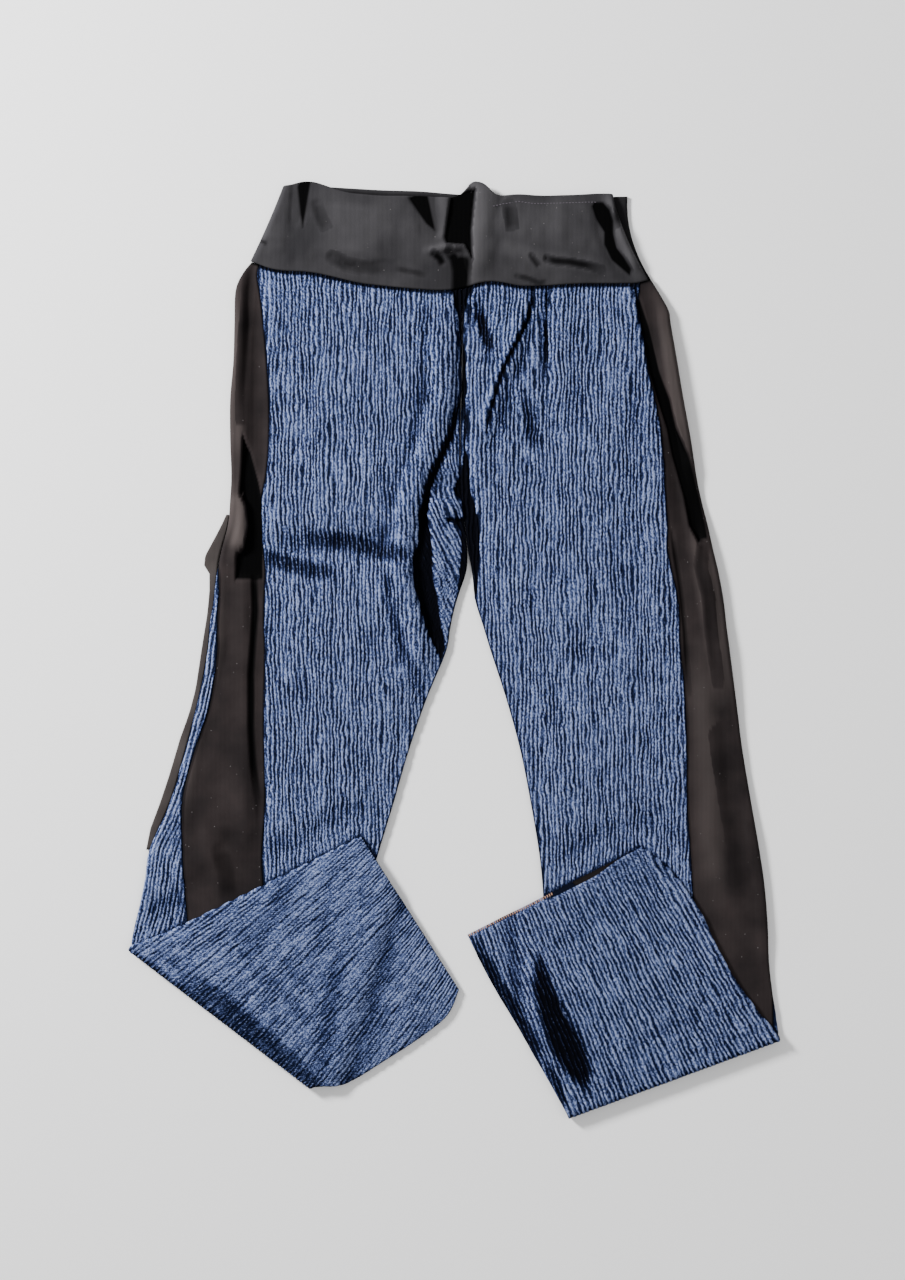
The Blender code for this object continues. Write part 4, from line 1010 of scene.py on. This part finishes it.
def finish_leg_piece(name, leg, s, p, sign, ribs, cloth_map, material, hidden):
    """Make a leg's piece from its grids, with ribs on the outside where it shows and painted light and shade
    in its colour facts.
    """
    middle = leg.point(s, p)
    normal = grid_normals(middle, sign)
    edge = np.minimum(np.abs(p - p[:, :1]), np.abs(p - p[:, -1:]))
    soft = 1.0 - smooth_step(edge / EDGE_SOFT)
    outer = middle + normal * (CLOTH / 2 + RIB_RISE * ribs - EDGE_DROP * soft * (ribs > 0))[..., None]
    inner = middle - normal * (CLOTH / 2)
    outer[..., 2] = np.maximum(outer[..., 2], 0.0)
    inner[..., 2] = np.maximum(inner[..., 2], TABLE_CLEARANCE)
    x, y = middle[..., 0], middle[..., 1]
    # Painted shading from the cloth's form: on the side panels a painted highlight on raised folds and
    # painted shade in troughs, elsewhere painted shade where a point lies below the cloth around it.
    if material is side_jersey:
        painted_shading = np.clip(-fold_height(leg.folds, x, y) / CREST_RISE, -0.8, 0.6)
    else:
        painted_shading = np.clip(hollow_depth(middle, *HOLLOW_REACH) / HOLLOW_DEPTH, 0.0, 1.0)
    # Painted shade under the waistband's seam, in the creases and pits, along the hem's fold, beside each
    # piece's seams and in the right hem's mouth; rib crests keep some light.
    below_seam = curve_y(WAIST_SEAM, x) - y - 1.3 - 1.2 * ribs
    seam_shade = SEAM_SHADE * (1.0 - smooth_step(below_seam / 2.2))
    on_leg = np.maximum(darkness(leg.creases, leg.pits, x, y), seam_shade)
    on_flap = darkness(leg.flap_creases, leg.flap_pits, x, y)
    fold_edge = FOLD_SHADE * (1.0 - smooth_step((s - leg.last - 0.35) / 0.75))
    on_flap = np.maximum(on_flap, fold_edge)
    on_top = np.where(s <= leg.last, p >= -1.0, p < 3.0)
    shade = np.where(on_top, np.where(s <= leg.last, on_leg, on_flap), 0.0)
    shade = shade * (1.12 - 0.42 * ribs)
    shade = np.maximum(shade, EDGE_SHADE * (1.0 - smooth_step((edge - 0.3) / 1.8)) * (s <= leg.last))
    mouth = MOUTH_SHADE * smooth_step(s - leg.end + 1.0) * (p > 0) * smooth_step((MOUTH_END - p) / 14.0)
    shade = np.maximum(shade, mouth)
    painted_shading = np.where(shade > LEAST_SHADE, np.maximum(painted_shading, shade), painted_shading)
    # The rib fact is lowered at a piece's edges, which paints the seams darker.
    facts = {"rib": ribs - 0.25 * soft, "painted_shading": painted_shading}
    piece = shell(name, outer, inner, cloth_map, facts, material)
    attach(piece, "root")
    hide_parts(hidden)
    return piece


def rib_fade(leg, middle):
    """Where ribs stand on the leg: none where the folded hem covers it."""
    return smooth_step((leg.uncovered(middle[..., 0], middle[..., 1]) + 0.5) / 4.0)


print("edge of a piece softens over", EDGE_SOFT, "mm")

# %% [markdown]
# The fronts carry upright ribs. On the left leg the cloth between the inner roll and the
# crotch turns on the bias, so its ribs lean there.

# %% Fronts
ROLL_LINE = [(-4, 337), (-14, 300), (-32, 168), (-29, 128), (-36, 88), (-28, 34), (-8, -8)]
STRIP_LEAN = math.radians(66)
FRONT_STEPS = (2.7, 14.0)
FRONT_COLUMNS = 288
LEFT_FAN = (346, 197, 800)
RIGHT_FAN = (-307, 715, 1060)


def front_map(leg, middle):
    """The front cloth in millimetres across and along its ribs."""
    x, y = middle[..., 0], middle[..., 1]
    across = x + 2.4 * np.sin(y / 120.0)
    if leg.side < 0:
        roll_x = np.interp(-y, [-q[1] for q in ROLL_LINE], [q[0] for q in ROLL_LINE])
        band = smooth_step((x - roll_x - 2.0) / 6.0) * smooth_step((y + 20.0) / 20.0) \
            * smooth_step((172.0 - y) / 20.0)
        leaning = x * math.sin(STRIP_LEAN) + y * math.cos(STRIP_LEAN)
        across = across * (1.0 - band) + leaning * band
    return np.stack([across, y], -1)


def fan_map(leg, middle):
    """The folded hem in millimetres across and along its ribs, which fan out from a point."""
    fan_x, fan_y, mean = LEFT_FAN if leg.side < 0 else RIGHT_FAN
    dx = middle[..., 0] - fan_x
    dy = middle[..., 1] - fan_y
    turned = np.arctan2(dy, dx) if leg.side > 0 else np.arctan2(-dy, -dx)
    return np.stack([turned * mean, np.hypot(dx, dy)], -1)


def build_front(leg, side_name, seed):
    """A leg's front: ribbed where it shows, plain under the folded hem."""
    stations = leg.stations(*FRONT_STEPS)
    start = leg.seam("front_seam", stations) + SEAM_GAP / 2
    s, p = leg_grid(stations, start, leg.inner_girth(stations), FRONT_COLUMNS)
    middle = leg.point(s, p)
    cloth_map = np.where(s[..., None] > leg.last, fan_map(leg, middle), front_map(leg, middle))
    at_hem = smooth_step((s - leg.end + 0.7) / 0.2) * smooth_step((p - 96.0) / 12.0)
    shown = rib_fade(leg, middle) * (s < leg.last - 0.5) + at_hem
    ribs = crinkle(cloth_map[..., 0], cloth_map[..., 1], seed) * shown
    piece = finish_leg_piece("crinkle_front_" + side_name, leg, s, p, leg.side, ribs, cloth_map,
                             crinkle_blue, "front_leg_" + side_name)
    print(piece.name, len(piece.data.polygons), "faces")


build_front(left_leg, "left", 11)
build_front(right_leg, "right", 31)

# %% [markdown]
# The backs lie underneath and come into view as the top of the folded hems, where the ribs
# fan out, and as a narrow strip along the left leg's outer edge.

# %% Backs
HEM_PULL = 0.25
BACK_STEPS = (4.6, 2.5)
BACK_COLUMNS = 270
STRIP_FROM = 7.5
FLAP_FROM = 21.6
BACK_DEEPEN = {"left": -0.14, "right": 0.12}


def back_map(leg, s, p, middle):
    """The back cloth in millimetres across and along its ribs."""
    plain = np.stack([p, middle[..., 1]], -1)
    return np.where(s[..., None] > leg.last + 0.15, fan_map(leg, middle), plain)


def pulled_back(leg, s, p):
    """Stations with the right hem's upper layer pulled back a little over its inner part."""
    if leg.side < 0:
        return s
    window = smooth_step((-p - 14.0) / 46.0) * (1.0 - 0.30 * smooth_step((-p - 98.0) / 16.0))
    return s - HEM_PULL * window * smooth_step(s - leg.end + 1.0)


def back_columns(leg, stations, start):
    """The girth of the knee and the share of columns before it, more where the strip shows."""
    if leg.side > 0:
        return start - 1.0, np.full(start.shape, 0.02)
    on_flap = smooth_step(stations - FLAP_FROM)
    strip = smooth_step((stations - STRIP_FROM) / 2.0)
    knee = np.minimum(start - 6.0, -4.0 * (1.0 - on_flap) + 4.0 * on_flap)
    return knee, (0.02 + 0.32 * strip) * (1.0 - on_flap) + 0.10 * on_flap


def build_back(leg, side_name, seed):
    """A leg's back: flat under the leg, ribbed over the folded hem."""
    stations = leg.stations(*BACK_STEPS)
    start = leg.seam("back_seam", stations) - SEAM_GAP / 2
    knee, share = back_columns(leg, stations, start)
    s, p = leg_grid(stations, start, -leg.inner_girth(stations), BACK_COLUMNS, knee, share)
    s = pulled_back(leg, s, p)
    middle = leg.point(s, p)
    cloth_map = back_map(leg, s, p, middle)
    on_leg = smooth_step((p + 1.0) / 3.0) * rib_fade(leg, middle) * (s <= leg.last)
    on_hem = smooth_step((s - leg.last - 0.2) / 0.4) * smooth_step((3.0 - p) / 3.0)
    ribs = crinkle(cloth_map[..., 0], cloth_map[..., 1], seed, 0.85, BACK_DEEPEN[side_name])
    ribs = ribs * (on_leg + on_hem)
    piece = finish_leg_piece("crinkle_back_" + side_name, leg, s, p, -leg.side, ribs, cloth_map,
                             crinkle_blue, "back_leg_" + side_name)
    print(piece.name, len(piece.data.polygons), "faces")


build_back(left_leg, "left", 51)
build_back(right_leg, "right", 71)

# %% [markdown]
# The side panels are smooth jersey between the front and the back seams.

# %% Side panels
SIDE_STEPS = (3.6, 10.0)
SIDE_COLUMNS = 64


def build_side(leg, side_name):
    """A leg's black side panel, with soft folds and no ribs."""
    stations = leg.stations(*SIDE_STEPS)
    start = leg.seam("front_seam", stations) - SEAM_GAP / 2
    end = leg.seam("back_seam", stations) + SEAM_GAP / 2
    s, p = leg_grid(stations, start, end, SIDE_COLUMNS)
    middle = leg.point(s, p)
    cloth_map = np.stack([p, middle[..., 1]], -1)
    piece = finish_leg_piece("jersey_side_" + side_name, leg, s, p, -leg.side, np.zeros(s.shape),
                             cloth_map, side_jersey, "side_panel_" + side_name)
    print(piece.name, len(piece.data.polygons), "faces")


build_side(left_leg, "left")
build_side(right_leg, "right")

# %% [markdown]
# The waistband is a wide soft band of the same jersey. Its front is pinched and wrinkled,
# and its back lies flat on the table and shows as a thin edge above the front's.

# %% Waistband
BandEnd = namedtuple("BandEnd", "bottom_x top_x bow")
BAND_LEFT = BandEnd(-189, -158, 1)
BAND_RIGHT = BandEnd(187, 153, -4)
BAND_BACK_LEFT = BandEnd(-186, -155, 1)
BAND_BACK_RIGHT = BandEnd(190, 168, -7)
BAND_TURN = 5.0
BAND_RIPPLES = ((0.6, 18, 22, 8), (0.3, 7, 12, 9))
BACK_SEAM = [(-205, 369), (-189, 367), (11, 342), (190, 351), (206, 352)]
BAND_TOP = [
    (-160, 438), (-145, 443), (-133, 445), (-119, 440), (-100, 433), (-67, 430), (-29, 430),
    (-10, 429), (5, 427), (17, 437), (27, 453), (35, 433), (47, 429), (61, 432), (85, 430),
    (123, 431), (145, 433), (160, 430),
]
BAND_BACK_TOP = [
    (-156, 436), (-133, 440), (-100, 438), (-67, 436), (-29, 435), (4, 432), (85, 428), (168, 430),
]


def band_plan(u, v, left, right, seam, top):
    """Plan of the waistband: u runs from left to right and v from the seam to the top."""
    bottom_x = left.bottom_x + (right.bottom_x - left.bottom_x) * u
    top_x = left.top_x + (right.top_x - left.top_x) * u
    bow = (left.bow * (1.0 - u) + right.bow * u) * 4.0 * v * (1.0 - v)
    bottom_y = curve_y(seam, bottom_x) + SEAM_GAP / 2
    return bottom_x + (top_x - bottom_x) * v + bow, bottom_y + (curve_y(top, top_x) - bottom_y) * v


def turned_over(distance):
    """How far the cloth has risen from the band's end, 0 to 1, at a distance from it."""
    return np.sqrt(1.0 - (1.0 - np.clip(distance / BAND_TURN, 0.0, 1.0)) ** 2)


def band_front(u, v):
    """Middle of the front waistband's cloth, with its creases."""
    x, y = band_plan(u, v, BAND_LEFT, BAND_RIGHT, WAIST_SEAM, BAND_TOP)
    length = BAND_RIGHT.bottom_x - BAND_LEFT.bottom_x
    creases = fold_height(BAND_FOLDS + SHARED_FOLDS, x, y) + crease_height(BAND_CREASES, x, y)
    creases = creases + ripples(BAND_RIPPLES, x, y)
    lowest = BAND_CLOTH * 1.5 + SEAM_GAP + 0.1
    flat = np.maximum(WAIST_MID + creases * smooth_step(v / 0.2 + 0.5), lowest)
    pit = pit_mask(BAND_PITS, x, y)
    flat = flat * (1.0 - pit) + lowest * pit
    z = BAND_CLOTH / 2 + (flat - BAND_CLOTH / 2) * turned_over(u * length)
    return np.stack([x, y, lowest + (z - lowest) * turned_over((1.0 - u) * length)], -1)


def band_back(u, v):
    """Middle of the back waistband's cloth, flat on the table."""
    x, y = band_plan(u, v, BAND_BACK_LEFT, BAND_BACK_RIGHT, BACK_SEAM, BAND_BACK_TOP)
    return np.stack([x, y, np.full(x.shape, BAND_CLOTH / 2)], -1)


def build_band(name, surface, columns, rows, node):
    """One side of the waistband as a thin shell."""
    u, v = np.meshgrid(np.linspace(0, 1, columns), np.linspace(0, 1, rows))
    middle = surface(u, v)
    normal = grid_normals(middle, 1.0)
    outer = middle + normal * (BAND_CLOTH / 2)
    inner = middle - normal * (BAND_CLOTH / 2)
    outer[..., 2] = np.maximum(outer[..., 2], 0.0)
    inner[..., 2] = np.maximum(inner[..., 2], 0.0)
    x, y = middle[..., 0], middle[..., 1]
    # Painted shading: on the front a painted highlight on raised folds and painted shade in troughs, creases
    # and pits; on the back a painted shadow under the front's top edge.
    painted_shading = np.zeros(x.shape)
    if surface is band_front:
        painted_shading = np.clip(-fold_height(BAND_FOLDS, x, y) / (1.8 * CREST_RISE), -0.7, 0.3)
        shade = darkness(BAND_CREASES, BAND_PITS, x, y)
    else:
        shade = 1.1 * (1.0 - smooth_step((y - curve_y(BAND_TOP, x) - 1.5) / 4.0))
    facts = {"painted_shading": np.where(shade > LEAST_SHADE, np.maximum(painted_shading, shade), painted_shading)}
    piece = shell(name, outer, inner, middle[..., :2], facts, band_jersey)
    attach(piece, "root")
    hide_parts(node)
    print(piece.name, len(piece.data.polygons), "faces")


build_band("jersey_band_front", band_front, 300, 52, "waistband_front")
build_band("jersey_band_back", band_back, 120, 24, "waistband_back")

# %% [markdown]
# Beside the left leg a low fold of the black panel shows on the table. It is cloth doubled
# on itself, so it is a slim closed form. Its jersey is painted paler, as if lit.

# %% The low fold beside the left leg
LEFT_TUCK = [
    (-213, 128), (-218, 117), (-226, 102), (-233, 89), (-234, 80), (-229, 73), (-229, 55),
    (-231, 34), (-236, 3), (-242, -37), (-248, -60), (-257, -85), (-267, -119), (-276, -146),
    (-285, -170), (-289, -190),
]
TUCK_THICKNESS = 2.6
TUCK_CLEARANCE = 0.6


def build_tuck(leg):
    """The panel's low fold, with a rounded outer edge."""
    y = np.linspace(LEFT_TUCK[0][1], LEFT_TUCK[-1][1], 120)
    tuck_x, tuck_y = zip(*LEFT_TUCK[::-1])
    outer_x = np.interp(y, tuck_y, tuck_x)
    dense = np.linspace(0.0, float(leg.last), 600)
    edge_y = through(leg.table["outer_y"], dense)
    edge_x = through(leg.table["outer_x"], dense)
    inner_x = np.interp(y, edge_y[::-1], edge_x[::-1]) - TUCK_CLEARANCE
    outer_x = np.minimum(outer_x, inner_x - 1.2)
    turn = np.linspace(0.0, 1.0, 9)
    bow = np.sin(turn * math.pi / 2)
    x = inner_x[:, None] + (outer_x - inner_x)[:, None] * bow[None, :]
    sag = np.broadcast_to(np.cos(turn * math.pi / 2) ** 0.5, x.shape)
    middle = TUCK_THICKNESS / 2
    rows = np.repeat(y[:, None], len(turn), axis=1)
    top = np.stack([x, rows, middle + (middle - 0.05) * sag], -1)
    low = np.stack([x, rows, middle - middle * sag], -1)
    facts = {"painted_shading": np.zeros(x.shape)}
    piece = shell("jersey_side_fold_left", top, low, top[..., :2], facts, fold_jersey_painted_lit)
    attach(piece, "root")
    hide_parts("side_panel_left_tuck")
    print(piece.name, len(piece.data.polygons), "faces")


build_tuck(left_leg)

# %% [markdown]
# The right hem's lower layer stands a little proud of the upper one, and the overlock thread
# that binds its raw edge shows there in warm brown. A row of small stitches holds the
# waistband's top hem. Each thread is a slim closed prism, and they are kept very few.

# %% Threads
def thread_finish(name, colour):
    """A matt thread of one colour."""
    material, _, shader = new_material(name)
    shader.inputs["Base Color"].default_value = (*colour, 1.0)
    shader.inputs["Roughness"].default_value = 0.8
    return material


def build_threads(name, runs, width, height, material):
    """Slim closed prisms between pairs of points, as one piece."""
    points, faces = [], []
    for start, end in runs:
        start, end = np.asarray(start, float), np.asarray(end, float)
        side = np.array([-(end - start)[1], (end - start)[0], 0.0])
        side = side / np.linalg.norm(side) * width / 2
        up = np.array([0.0, 0.0, height])
        k = len(points)
        points += [start - side, start + side, start + side * 0.6 + up, start - side * 0.6 + up,
                   end - side, end + side, end + side * 0.6 + up, end - side * 0.6 + up]
        faces += [[k, k + 3, k + 2, k + 1], [k + 4, k + 5, k + 6, k + 7], [k, k + 1, k + 5, k + 4],
                  [k + 1, k + 2, k + 6, k + 5], [k + 2, k + 3, k + 7, k + 6], [k + 3, k, k + 4, k + 7]]
    mesh = placed_mesh(name, points, faces)
    turn_outwards(mesh)
    piece = bpy.data.objects.new(name, mesh)
    bpy.context.collection.objects.link(piece)
    mesh.materials.append(material)
    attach(piece, "root")
    print(piece.name, len(runs), "stitches")


def hem_loops(leg, first, last, pitch, reach):
    """Slanting loops over a hem's lower layer, from its edge inwards."""
    girth = np.arange(first, last, pitch)
    end = np.full(girth.shape, float(leg.end))
    edge = leg.point(end, girth)
    inside = leg.point(end - reach, girth + 1.3)
    lift = np.array([0.0, 0.0, CLOTH / 2 - 0.1])
    return list(zip(edge + lift, inside + lift))


overlock = thread_finish("overlock_thread", (0.40, 0.22, 0.13))
build_threads("hem_overlock_right", hem_loops(right_leg, 96.0, 184.0, 2.3, 0.14), 1.2, 0.5, overlock)
top_stitch = thread_finish("top_stitch_thread", (0.070, 0.060, 0.075))
STITCH_LINE = [(40.2, 419.9), (48.9, 422.3), (63.9, 424.4), (77.3, 422.6), (104.0, 423.0), (138.2, 424.2)]


def band_stitches(line, pitch):
    """Short stitches along a line on the front waistband."""
    x = np.arange(line[0][0], line[-1][0], pitch)
    y = np.interp(x, [q[0] for q in line], [q[1] for q in line])
    u, v = np.meshgrid(np.linspace(0, 1, 300), np.linspace(0, 1, 60))
    grid = band_front(u, v)
    runs = []
    for px, py in zip(x, y):
        near = np.argmin(np.hypot(grid[..., 0] - px, grid[..., 1] - py))
        z = grid.reshape(-1, 3)[near, 2] + BAND_CLOTH / 2 - 0.1
        runs.append(((px, py, z), (px + pitch * 0.6, py, z)))
    return runs


build_threads("band_top_stitch", band_stitches(STITCH_LINE, 3.0), 0.7, 0.3, top_stitch)
